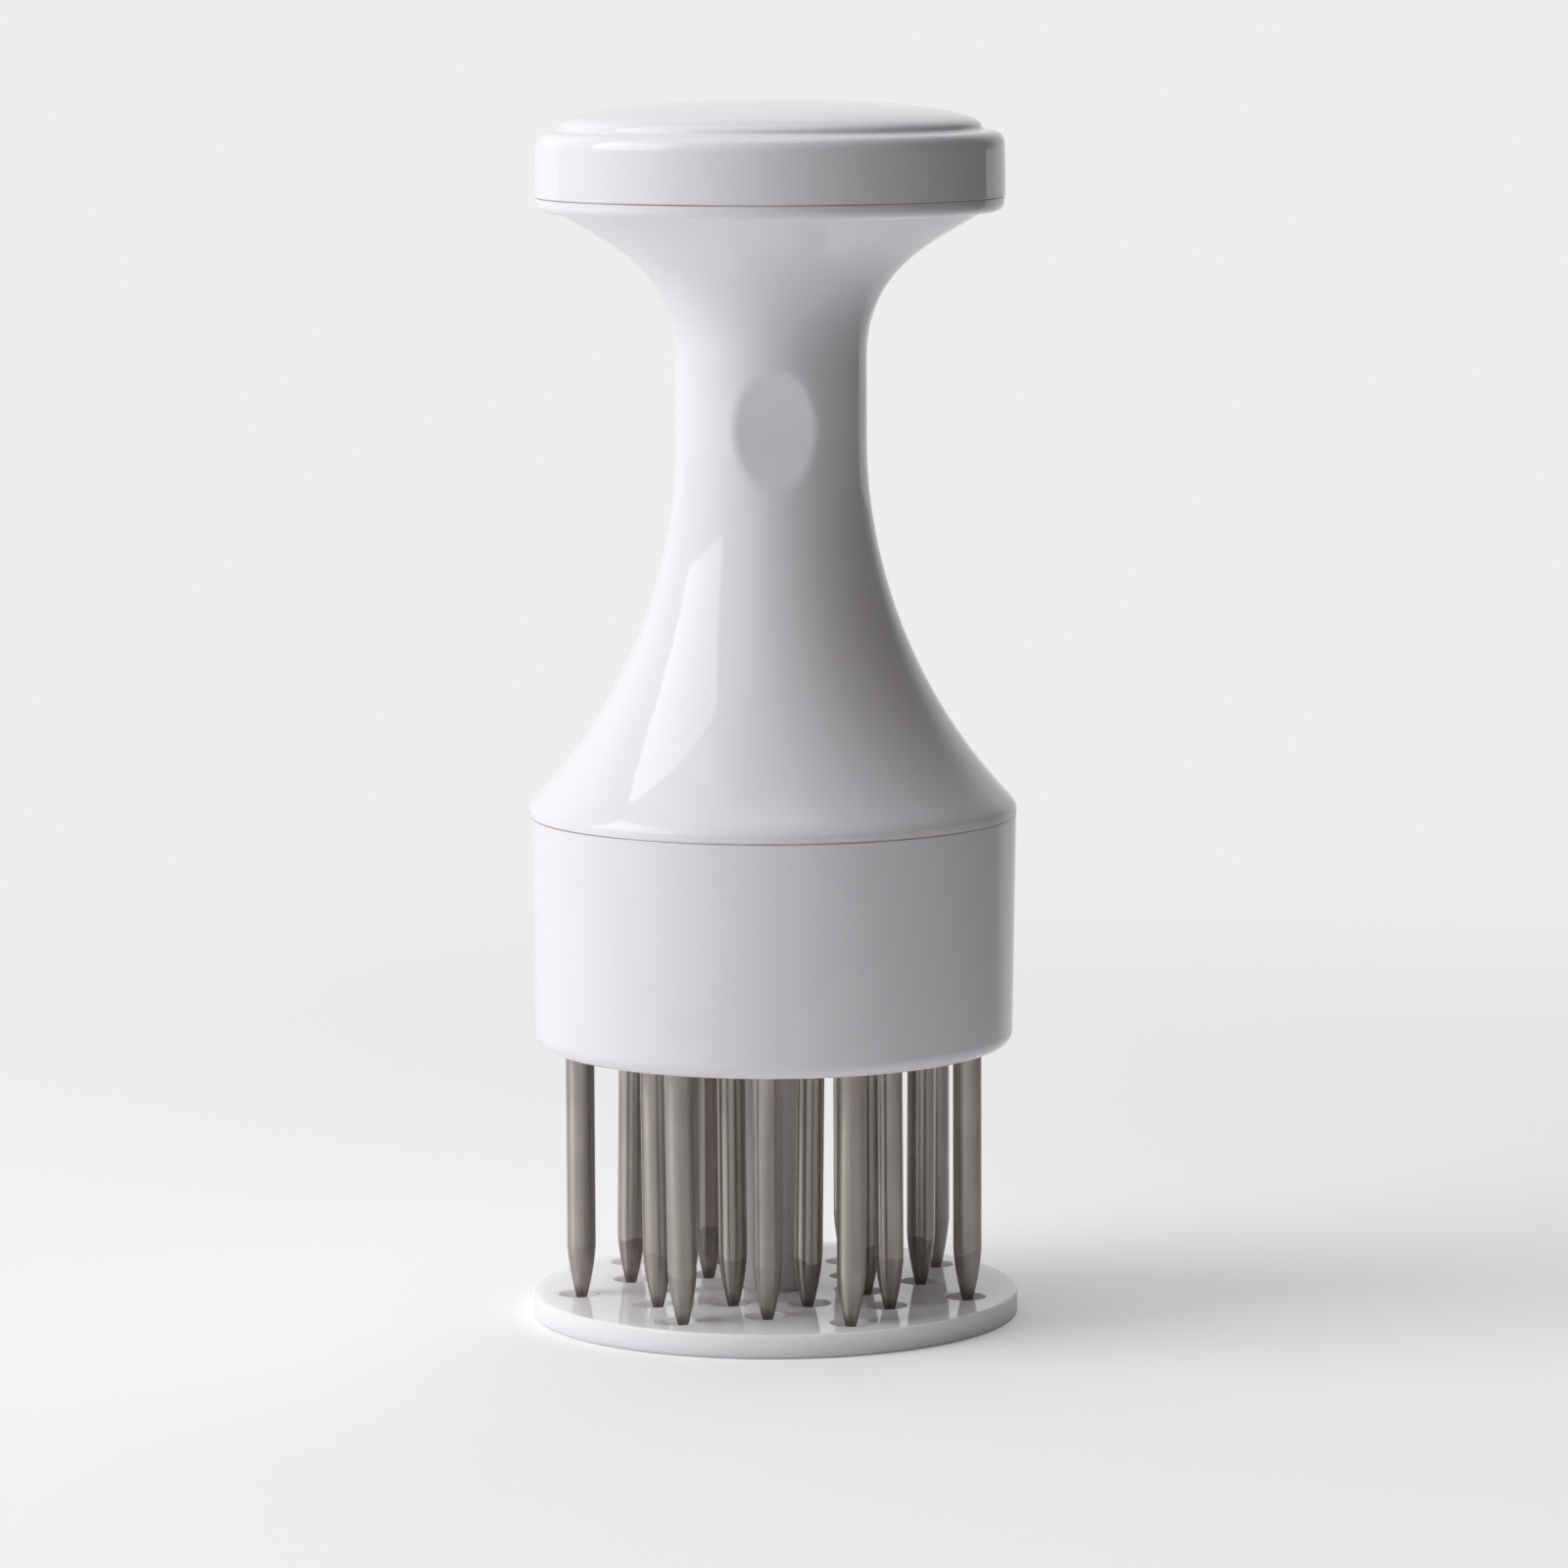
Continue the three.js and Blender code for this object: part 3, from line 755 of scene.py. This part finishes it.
def flare_curve():
    """The outer line of the flare, from the neck up to the lip under the cap."""
    slope = math.radians(FLARE_LIP_DEGREES)
    neck = (NECK_RADIUS, NECK_TOP)
    neck_pull = (NECK_RADIUS, NECK_TOP + FLARE_NECK_PULL)
    head = (CAP_RADIUS - CAP_BACK - LIP_ROUND - LIP_OVERHANG, FLARE_TOP)
    head_pull = (head[0] - FLARE_LIP_PULL * math.sin(slope), head[1] - FLARE_LIP_PULL * math.cos(slope))
    return bezier([neck, neck_pull, head_pull, head], CURVE_STEPS)


def neck_line():
    """The straight outer line of the neck, in short steps, without its ends."""
    return [(NECK_RADIUS, NECK_BASE + NECK_LENGTH * step / NECK_STEPS) for step in range(1, NECK_STEPS)]


def handle_outside():
    """The outline of the handle that shows, from the seam up to the cap's seat."""
    seam = housing_high.z + SEAM_SHOWN
    rim_radius = HOUSING_RADIUS + RIM_PROUD
    rim = (rim_radius, seam, RIM_EDGE)
    outline = rounded([(PLUG_RADIUS, seam), rim, (rim_radius, BELL_BASE + RIM_LAND)])
    outline += rim_curve()[1:] + bell_curve()[1:] + neck_line() + flare_curve()
    lip_radius = CAP_RADIUS - CAP_BACK
    lip = arc((lip_radius - LIP_ROUND, FLARE_TOP + LIP_ROUND), LIP_ROUND, -90, 0)
    top = cap_low.z - SEAM_SHOWN
    outline += lip[:-1] + rounded([lip[-1], (lip_radius, top, LIP_EDGE), (RING_RADIUS, top)])
    return outline


def handle_outline():
    """The whole outline of the handle, with its plug, hollow, web, bowl and snap ring."""
    plug_bore = PLUG_RADIUS - PLUG_WALL
    ring_bore = RING_RADIUS - RING_WALL
    boss_base = SPRING_SEAT - SPRING_BOSS_HEIGHT
    bell_inside = shifted(bell_curve()[::INSIDE_STRIDE], HANDLE_WALL)
    bell_inside = [point for point in bell_inside if point[0] < plug_bore]
    bowl = shifted(flare_curve()[::INSIDE_STRIDE], HANDLE_WALL)
    bowl = [point for point in bowl if point[0] < ring_bore and point[1] > WEB_TOP]
    outline = [(0, boss_base), (SPIGOT_RADIUS, boss_base)]
    outline += [(SPIGOT_RADIUS, SPRING_SEAT), (NECK_BORE, SPRING_SEAT)]
    outline += bell_inside[::-1] + [(plug_bore, handle_low.z)]
    outline += bead(PLUG_RADIUS, PLUG_BEAD_HEIGHT)
    outline += handle_outside()
    outline += bead(RING_RADIUS, RING_BEAD_HEIGHT)
    outline += [(RING_RADIUS, handle_high.z), (ring_bore, handle_high.z)]
    outline += bowl[::-1] + [(0, WEB_TOP)]
    return outline


def smooth_max(a, b, width):
    """The larger of two values, rounded where they are nearly equal."""
    share = min(max(0.5 + 0.5 * (a - b) / width, 0.0), 1.0)
    return b + (a - b) * share + width * share * (1 - share)


def press_recess(form):
    """Pushes the front of the neck back to a wide roller, which leaves an oval recess."""
    turn = Matrix.Rotation(math.radians(RECESS_TURN_DEGREES), 3, "Z")
    centre_y = RECESS_DEPTH - NECK_RADIUS - RECESS_RADIUS
    centre_z = NECK_BASE + RECESS_LIFT
    reach = RECESS_RADIUS / 2
    wall_middle = (NECK_BORE + NECK_RADIUS) / 2
    for vertex in form.verts:
        if abs(vertex.co.z - centre_z) > reach or vertex.co.xy.length < wall_middle:
            continue
        local = turn.inverted() @ vertex.co
        if local.y > 0:
            continue
        face_y = centre_y + math.sqrt(RECESS_RADIUS**2 - (local.z - centre_z) ** 2)
        local.y = smooth_max(local.y, face_y, RECESS_ROUND)
        vertex.co = turn @ local


def make_handle(material):
    """The hand grip in one piece."""
    form = turned(handle_outline(), SHELL_STEPS)
    press_recess(form)
    piece = link(mesh_of(form, "handle_grip"), "handle_grip")
    weigh_normals(piece)
    return finish_piece(piece, TOOL, material, "white_plastic", "handle_shell")


# Cap

def cap_outline():
    """The outline of the cap, from its roof inside, down round its foot and up to its dome."""
    roof = LEDGE_HEIGHT - CAP_ROOF
    dome_radius = CAP_RADIUS - CAP_LEDGE
    dome_foot = (dome_radius, LEDGE_HEIGHT + CAP_STEP)
    shoulder = (dome_radius - CAP_DOME_LEAN, cap_high.z - CAP_DOME_SHOULDER)
    dome = bezier([dome_foot, shoulder, (CAP_DOME_FLAT, cap_high.z), (0, cap_high.z)], DOME_STEPS)
    corner = Vector((CAP_RADIUS - CAP_DRAFT, LEDGE_HEIGHT - CAP_LEDGE_RISE))
    ledge = Vector((dome_radius + CAP_STEP, LEDGE_HEIGHT))
    side = (corner.x, corner.y - CAP_EDGE_FALL)
    inward = corner + (ledge - corner).normalized() * CAP_EDGE
    outline = [(0, roof), (CAP_BORE, roof)]
    outline += bead(CAP_BORE, RING_BEAD_HEIGHT)[::-1]
    outline += rounded([(CAP_BORE, cap_low.z), (CAP_RADIUS, cap_low.z, CAP_FOOT_EDGE), side])[:-1]
    outline += bezier([side, corner, inward], BEND_STEPS)
    outline += rounded([outline[-1], (ledge.x, ledge.y, CAP_LEDGE_ROUND), dome_foot])[1:]
    return outline + dome[1:]


def make_cap(material):
    """The round cap: skirt, stepped top and shallow dome, hollow underneath."""
    piece = link(mesh_of(turned(cap_outline(), SHELL_STEPS), "cap"), "cap")
    weigh_normals(piece)
    return finish_piece(piece, TOOL, material, "white_plastic", "top_cap")


# Housing

def make_housing(material):
    """The cup that the needles come out of, with three screw bosses on its floor."""
    base = housing_low.z
    floor_top = base + HOUSING_FLOOR
    boss_top = floor_top + BOSS_HEIGHT
    foot_radius = HOUSING_RADIUS - HOUSING_DRAFT
    edge = arc((foot_radius - HOUSING_EDGE, base + HOUSING_EDGE), HOUSING_EDGE, -90, 0)
    rim = (HOUSING_RADIUS, housing_high.z, HOUSING_RIM_EDGE)
    outline = [(0, base)] + edge[:-1] + rounded([edge[-1], rim, (HOUSING_BORE, housing_high.z)])
    outline += bead(HOUSING_BORE, PLUG_BEAD_HEIGHT)[::-1] + [(HOUSING_BORE, floor_top), (0, floor_top)]
    piece = link(mesh_of(turned(outline, SHELL_STEPS), "housing_cup"), "housing_cup")
    boss_radius = PILOT_RADIUS + BOSS_WALL
    bosses = [rod(boss_radius, floor_top - BOSS_SINK, boss_top, place) for place in BOSS_PLACES]
    boolean(piece, joined(bosses), "UNION")
    pilots = [rod(PILOT_RADIUS, floor_top, boss_top + OVERRUN, place) for place in BOSS_PLACES]
    boolean(piece, joined(pilots), "DIFFERENCE")
    holes = needle_holes(FLOOR_HOLE_RADIUS, base, floor_top, FLOOR_HOLE_EDGE)
    holes.append(drill(STEM_HOLE_RADIUS, base, floor_top, FLOOR_HOLE_EDGE))
    boolean(piece, joined(holes), "DIFFERENCE")
    weigh_normals(piece)
    return finish_piece(piece, TOOL, material, "white_plastic", "lower_housing")


# Press plate, stem and the screw that joins them

def make_plate(material):
    """The round plate that the tool stands on, with a hole for each needle."""
    side = [(PLATE_RADIUS, 0, PLATE_EDGE), (PLATE_RADIUS, PLATE_TOP, PLATE_EDGE)]
    outline = rounded([(0, 0), *side, (0, PLATE_TOP)])
    piece = link(mesh_of(turned(outline, SHELL_STEPS), "press_disc"), "press_disc")
    holes = needle_holes(PLATE_HOLE_RADIUS, 0, PLATE_TOP, PLATE_HOLE_EDGE)
    mouth = SINK_RADIUS + SINK_GAP
    register_base = PLATE_TOP - REGISTER_DEPTH
    sink = [(0, -OVERRUN), (mouth, -OVERRUN), (mouth, SINK_GAP), (PILOT_RADIUS, SINK_TOP)]
    sink += [(PILOT_RADIUS, register_base), (REGISTER_RADIUS, register_base)]
    sink += [(REGISTER_RADIUS, PLATE_TOP + OVERRUN), (0, PLATE_TOP + OVERRUN)]
    boolean(piece, joined(holes + [turned(sink, HOLE_STEPS)]), "DIFFERENCE")
    weigh_normals(piece)
    return finish_piece(piece, PRESS, material, "white_plastic", "press_plate")


def make_stem(material):
    """The stem that carries the press plate, with its stop collar and spigot."""
    collar_base = COLLAR_TOP - COLLAR_THICKNESS
    pilot_top = screw_high.z + FIT_GAP
    outline = [(0, pilot_top), (PILOT_RADIUS, pilot_top), (PILOT_RADIUS, stem_low.z)]
    outline += [(STEM_RADIUS, stem_low.z), (STEM_RADIUS, collar_base)]
    outline += [(COLLAR_RADIUS, collar_base, STEM_EDGE), (COLLAR_RADIUS, COLLAR_TOP, STEM_EDGE)]
    outline += [(SPIGOT_RADIUS, COLLAR_TOP), (SPIGOT_RADIUS, stem_high.z, STEM_EDGE), (0, stem_high.z)]
    piece = link(mesh_of(turned(rounded(outline), STEM_STEPS), "press_rod"), "press_rod")
    weigh_normals(piece)
    return finish_piece(piece, PRESS, material, "white_plastic", "press_stem")


def cross_bar(turn_degrees):
    """One bar of the screw's cross recess, narrower at its base."""
    bar = bmesh.new()
    bmesh.ops.create_cube(bar, size=1)
    for vertex in bar.verts:
        at_base = vertex.co.z > 0
        share = CROSS_BASE_SHARE if at_base else 1.0
        vertex.co.x *= CROSS_LENGTH * share
        vertex.co.y *= CROSS_WIDTH * share
        vertex.co.z = SINK_GAP + (CROSS_DEPTH if at_base else -OVERRUN)
    turn = Matrix.Rotation(math.radians(turn_degrees), 3, "Z")
    bmesh.ops.rotate(bar, matrix=turn, verts=bar.verts)
    return bar


def make_plate_screw(material):
    """The countersunk screw under the press plate, with its cross recess."""
    end = screw_high.z
    outline = [(0, SINK_GAP), (SINK_RADIUS, SINK_GAP, SINK_GAP / 2), (SHANK_RADIUS, SINK_TOP)]
    outline += [(SHANK_RADIUS, end - SHANK_RADIUS), (SHANK_RADIUS / 2, end), (0, end)]
    piece = link(mesh_of(turned(rounded(outline), HOLE_STEPS), "plate_fixing"), "plate_fixing")
    for turn_degrees in (0, 90):
        boolean(piece, cross_bar(turn_degrees), "DIFFERENCE")
    return finish_piece(piece, PRESS, material, "screw_steel", "plate_screw")


# Needles and spring

def needle_outline(base, top):
    """A needle from its blunt point up to its head."""
    head_base = top - NEEDLE_HEAD_HEIGHT
    bulge = (NEEDLE_RADIUS - NEEDLE_TAPER_PULL, base + NEEDLE_TAPER / 2)
    cone = bezier([(NEEDLE_TIP_RADIUS, base), bulge, (NEEDLE_RADIUS, base + NEEDLE_TAPER)], BEND_STEPS)
    outline = rounded([(0, base), (NEEDLE_TIP_RADIUS, base, NEEDLE_TIP_EDGE), cone[1]])[:-1] + cone[1:]
    outline += [(NEEDLE_RADIUS, head_base), (NEEDLE_HEAD_RADIUS, head_base)]
    outline += [(NEEDLE_HEAD_RADIUS, top), (0, top)]
    return outline


def make_needle(name, material):
    """One needle in its place, which may hang a little askew in its holes."""
    low, high = node_box(name)
    form = turned(needle_outline(low.z, high.z), NEEDLE_STEPS, NEEDLE_PLACES[name])
    lean = TIP_LEAN.get(name, 0.0) / (NEEDLE_ROOT - low.z)
    for vertex in form.verts:
        vertex.co.x += NEEDLE_SHIFT + lean * max(NEEDLE_ROOT - vertex.co.z, 0.0)
    label = name.replace("needle", "prong")
    piece = link(mesh_of(form, label), label)
    return finish_piece(piece, TOOL, material, "needle_steel", name)


def coil():
    """A round wire wound about the stem's line, as a closed bmesh."""
    radius = (spring_high.x - spring_low.x) / 2 - WIRE_RADIUS
    base = spring_low.z + WIRE_RADIUS
    rise = spring_high.z - spring_low.z - 2 * WIRE_RADIUS
    steps = SPRING_COILS * COIL_STEPS
    form = bmesh.new()
    rings = []
    for step in range(steps + 1):
        angle = 2 * math.pi * step / COIL_STEPS
        outward = Vector((math.cos(angle), math.sin(angle), 0))
        centre = outward * radius + Vector((0, 0, base + rise * step / steps))
        ring = []
        for side in range(WIRE_STEPS):
            turn = 2 * math.pi * side / WIRE_STEPS
            corner = centre + outward * (WIRE_RADIUS * math.cos(turn))
            corner.z += WIRE_RADIUS * math.sin(turn)
            ring.append(form.verts.new(corner))
        rings.append(ring)
    for ring, following in zip(rings, rings[1:]):
        for side in range(WIRE_STEPS):
            beside = (side + 1) % WIRE_STEPS
            form.faces.new([ring[side], ring[beside], following[beside], following[side]])
    form.faces.new(rings[0])
    form.faces.new(rings[-1])
    return form


def make_spring(material):
    """The return spring, made at one length; the real one is squashed as the press plate slides up."""
    piece = link(mesh_of(coil(), "spring_wire"), "spring_wire")
    finish_piece(piece, TOOL, material, "spring_steel", "return_spring")
    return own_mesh(piece)


def dress_node(name, material):
    """Gives a node of the frame that stays in place its finish."""
    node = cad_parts[name]
    node.data.materials.clear()
    node.data.materials.append(material)


def make_object():
    """Every piece of the tool, on its body and with its finish."""
    plastic = white_plastic("white_plastic", (WHITE, WHITE_SHADE))
    inner = inner_plastic()
    # The plate's white plastic, lightened as painted light, with light seeping through it
    brightened_thin_plastic = white_plastic("brightened_thin_plastic", (PLATE_BRIGHTENED_WHITE, PLATE_BRIGHTENED_SHADE), PLATE_SEEP)
    # The stem's white plastic, darkened as painted shade
    shaded_stem_plastic = white_plastic("shaded_stem_plastic", (STEM_PAINTED_SHADE_WHITE, STEM_PAINTED_SHADE_GREY))
    needle, screw, spring = needle_steel(), screw_steel(), spring_steel()
    make_cap(plastic)
    make_handle(plastic)
    make_housing(plastic)
    make_plate(brightened_thin_plastic)
    make_stem(shaded_stem_plastic)
    make_plate_screw(screw)
    make_spring(spring)
    for name in NEEDLE_NAMES:
        make_needle(name, needle)
    for name in ("needle_carrier", "clamp_plate"):
        dress_node(name, inner)
    for name in CLAMP_SCREWS:
        dress_node(name, screw)


# Camera, measured from the photograph: the focal length and the picture's width are in its
# pixels, the sensor and the place in millimetres, and the clipping distances in metres
PHOTO_WIDTH = 1600
FOCAL_PIXELS = 7058.4
SENSOR_WIDTH = 36.0
CAMERA_PLACE = (1.105, -677.08, 137.22)
CAMERA_DOWN_DEGREES = 7.11
CAMERA_ROLL_DEGREES = -0.238
CLIP_NEAR = 0.01
CLIP_FAR = 100.0


def make_camera():
    """The camera at the photograph's place and angle."""
    data = bpy.data.cameras.new("camera")
    data.sensor_width = SENSOR_WIDTH
    data.lens = FOCAL_PIXELS / PHOTO_WIDTH * SENSOR_WIDTH
    data.clip_start = CLIP_NEAR
    data.clip_end = CLIP_FAR
    camera = link(data, "camera")
    tilt = Matrix.Rotation(math.radians(90 - CAMERA_DOWN_DEGREES), 4, "X")
    roll = Matrix.Rotation(math.radians(CAMERA_ROLL_DEGREES), 4, "Z")
    camera.matrix_world = Matrix.Translation(Vector(CAMERA_PLACE) * MM) @ tilt @ roll
    bpy.context.scene.camera = camera


# Studio, in metres and in degrees: round the object from the camera, to the right, and above
# the horizon
MIDDLE = Vector((0, 0, 0.07))
BACKDROP = (0.855, 0.855, 0.855, 1)
KEY_DIRECTION = (-77.5, 32.0)
KEY_DISTANCE = 1.0
KEY_SIZE = (0.7625, 0.671)
KEY_RADIANCE = 4.35
KEY_COLOR = (0.99, 1.0, 1.0)


class Zone(NamedTuple):
    """A lit patch of the studio, with soft edges at its sides and at its ends.

    Its middle and half width are angles round the object, and its low and high end are angles
    above the horizon.
    """

    middle: float
    half_width: float
    side_edge: float
    low: float
    high: float
    end_edge: float
    light: tuple


ZONES = {
    "backdrop": Zone(188.0, 48.0, 13.0, -20.0, 43.0, 5.0, (0.82, 0.81, 0.81)),
    "high_back": Zone(180.0, 46.0, 8.0, 48.0, 74.0, 5.0, (0.98, 0.95, 1.0)),
    "high_left": Zone(-90.0, 46.0, 8.0, 50.0, 74.0, 5.0, (1.52, 1.46, 1.52)),
    "overhead": Zone(0.0, 400.0, 1.0, 74.0, 120.0, 5.0, (2.1, 2.15, 2.2)),
    "right": Zone(85.0, 50.0, 12.0, -20.0, 52.0, 8.0, (0.032, 0.02, 0.023)),
    "front_left": Zone(-31.0, 17.0, 8.0, 13.0, 52.0, 8.0, (0.78, 0.725, 0.735)),
}

# The table's ends from the object and its spread behind it, and where the lit paper starts, as
# reflections and bounced light show them
TABLE_RIGHT = 0.135
TABLE_LEFT = 1.4
TABLE_FRONT = -0.9
SPREAD_RIGHT = 1.15
SPREAD_LEFT = 1.4
TABLE_EDGE = 0.06
PAPER_START = 0.45
TABLE_WHITE = (0.94, 0.94, 0.94, 1)
TABLE_SEEN = (0.97, 0.97, 0.97, 1)
TABLE_BEYOND = (0.03, 0.03, 0.03, 1)

# The floor, which fades into the backdrop for the camera between two distances
FLOOR_SIZE = 60.0
FLOOR_NEAR = 0.12
FLOOR_FAR = 0.34
FLOOR_GLOW = 0.25


def direction(azimuth, elevation):
    """The direction at an angle round the object from the camera, and above the horizon."""
    around, above = math.radians(azimuth), math.radians(elevation)
    flat = math.cos(above)
    return Vector((math.sin(around) * flat, -math.cos(around) * flat, math.sin(above)))


def make_key():
    """The soft box to the left of the object."""
    data = bpy.data.lights.new("key", "AREA")
    data.shape = "RECTANGLE"
    data.size, data.size_y = KEY_SIZE
    data.energy = KEY_RADIANCE * math.pi * KEY_SIZE[0] * KEY_SIZE[1]
    data.color = KEY_COLOR
    key = link(data, "key")
    away = direction(*KEY_DIRECTION)
    key.location = away * KEY_DISTANCE + MIDDLE
    key.rotation_mode = "QUATERNION"
    key.rotation_quaternion = away.to_track_quat("Z", "Y")
    key.visible_camera = False


def band(recipe, value, half, edge):
    """A share that is one where a value's size is under a half width, with a soft edge."""
    return recipe.ramp(recipe.math("ABSOLUTE", value), (half - edge, half + edge), (1.0, 0.0))


def zone_share(recipe, zone, around, above):
    """A share that is one within a zone, at angles round the object and above the horizon."""
    turn = recipe.math("WRAP", recipe.math("SUBTRACT", around, zone.middle), 180.0, -180.0)
    rise = recipe.math("SUBTRACT", above, (zone.low + zone.high) / 2)
    across = band(recipe, turn, zone.half_width, zone.side_edge)
    upright = band(recipe, rise, (zone.high - zone.low) / 2, zone.end_edge)
    return recipe.math("MULTIPLY", across, upright)


def make_world():
    """A pale backdrop for the camera, and the rest of the studio as the object sees it."""
    world = bpy.data.worlds.new("studio")
    bpy.context.scene.world = world
    recipe = Recipe(world)
    towards = recipe.node("TexCoord").outputs["Generated"]
    axes = recipe.node("SeparateXYZ", {"Vector": towards}).outputs
    around = recipe.math("ARCTAN2", axes["X"], recipe.math("MULTIPLY", axes["Y"], -1.0))
    around = recipe.math("DEGREES", around)
    above = recipe.math("DEGREES", recipe.math("ARCSINE", axes["Z"]))
    colour = recipe.node("CombineColor").outputs[0]
    for zone in ZONES.values():
        glow = recipe.node("VectorMath", {0: zone.light}, operation="SCALE")
        recipe.feed(glow.inputs["Scale"], zone_share(recipe, zone, around, above))
        colour = recipe.node("VectorMath", {0: colour, 1: glow.outputs[0]}, operation="ADD").outputs[0]
    seen = recipe.node("LightPath").outputs["Is Camera Ray"]
    shade = recipe.node("Background", {"Color": recipe.blend(seen, colour, BACKDROP)})
    recipe.node("OutputWorld", {"Surface": shade.outputs[0]})


def table_share(recipe, axes):
    """A share that is one on the white table, which spreads to both sides behind the object."""
    share = recipe.ramp(axes["Y"], (TABLE_FRONT - TABLE_EDGE, TABLE_FRONT + TABLE_EDGE))
    for side, end, spread in ((1.0, TABLE_RIGHT, SPREAD_RIGHT), (-1.0, TABLE_LEFT, SPREAD_LEFT)):
        reach = recipe.math("MAXIMUM", recipe.math("MULTIPLY", axes["Y"], spread), end)
        inside = recipe.math("SUBTRACT", reach, recipe.math("MULTIPLY", axes["X"], side))
        share = recipe.math("MULTIPLY", share, recipe.ramp(inside, (-TABLE_EDGE, TABLE_EDGE)))
    return share


def floor_material():
    """The white table, which the camera sees go over into the backdrop."""
    material = bpy.data.materials.new("floor")
    recipe = Recipe(material)
    place = recipe.node("TexCoord").outputs["Object"]
    seen = recipe.node("LightPath").outputs["Is Camera Ray"]
    axes = recipe.node("SeparateXYZ", {"Vector": place}).outputs
    table = table_share(recipe, axes)
    white = recipe.blend(seen, recipe.blend(table, TABLE_BEYOND, TABLE_WHITE), TABLE_SEEN)
    lit = recipe.node("BsdfDiffuse", {"Color": white}).outputs[0]
    pale = recipe.node("Emission", {"Color": BACKDROP}).outputs[0]
    behind = recipe.ramp(axes["Y"], (PAPER_START - TABLE_EDGE, PAPER_START + TABLE_EDGE))
    paper = recipe.math("MULTIPLY", table, behind)
    away = recipe.node("VectorMath", {0: place}, operation="LENGTH").outputs["Value"]
    fade = recipe.ramp(away, (FLOOR_NEAR, FLOOR_FAR), (FLOOR_GLOW, 1.0))
    glow = recipe.node("Mix", {"Factor": seen, "A": paper, "B": fade}).outputs[0]
    mix = recipe.node("MixShader", {0: glow, 1: lit, 2: pale})
    recipe.node("OutputMaterial", {"Surface": mix.outputs[0]})
    return material


def make_floor():
    """A pale table that keeps the object's shadow and fades into the backdrop."""
    form = bmesh.new()
    bmesh.ops.create_grid(form, x_segments=1, y_segments=1, size=FLOOR_SIZE / 2)
    mesh = bpy.data.meshes.new("floor")
    form.to_mesh(mesh)
    form.free()
    mesh.materials.append(floor_material())
    floor = link(mesh, "floor")


make_camera()
make_world()
make_key()
make_floor()
make_object()

bpy.context.scene.view_settings.view_transform = "Standard"
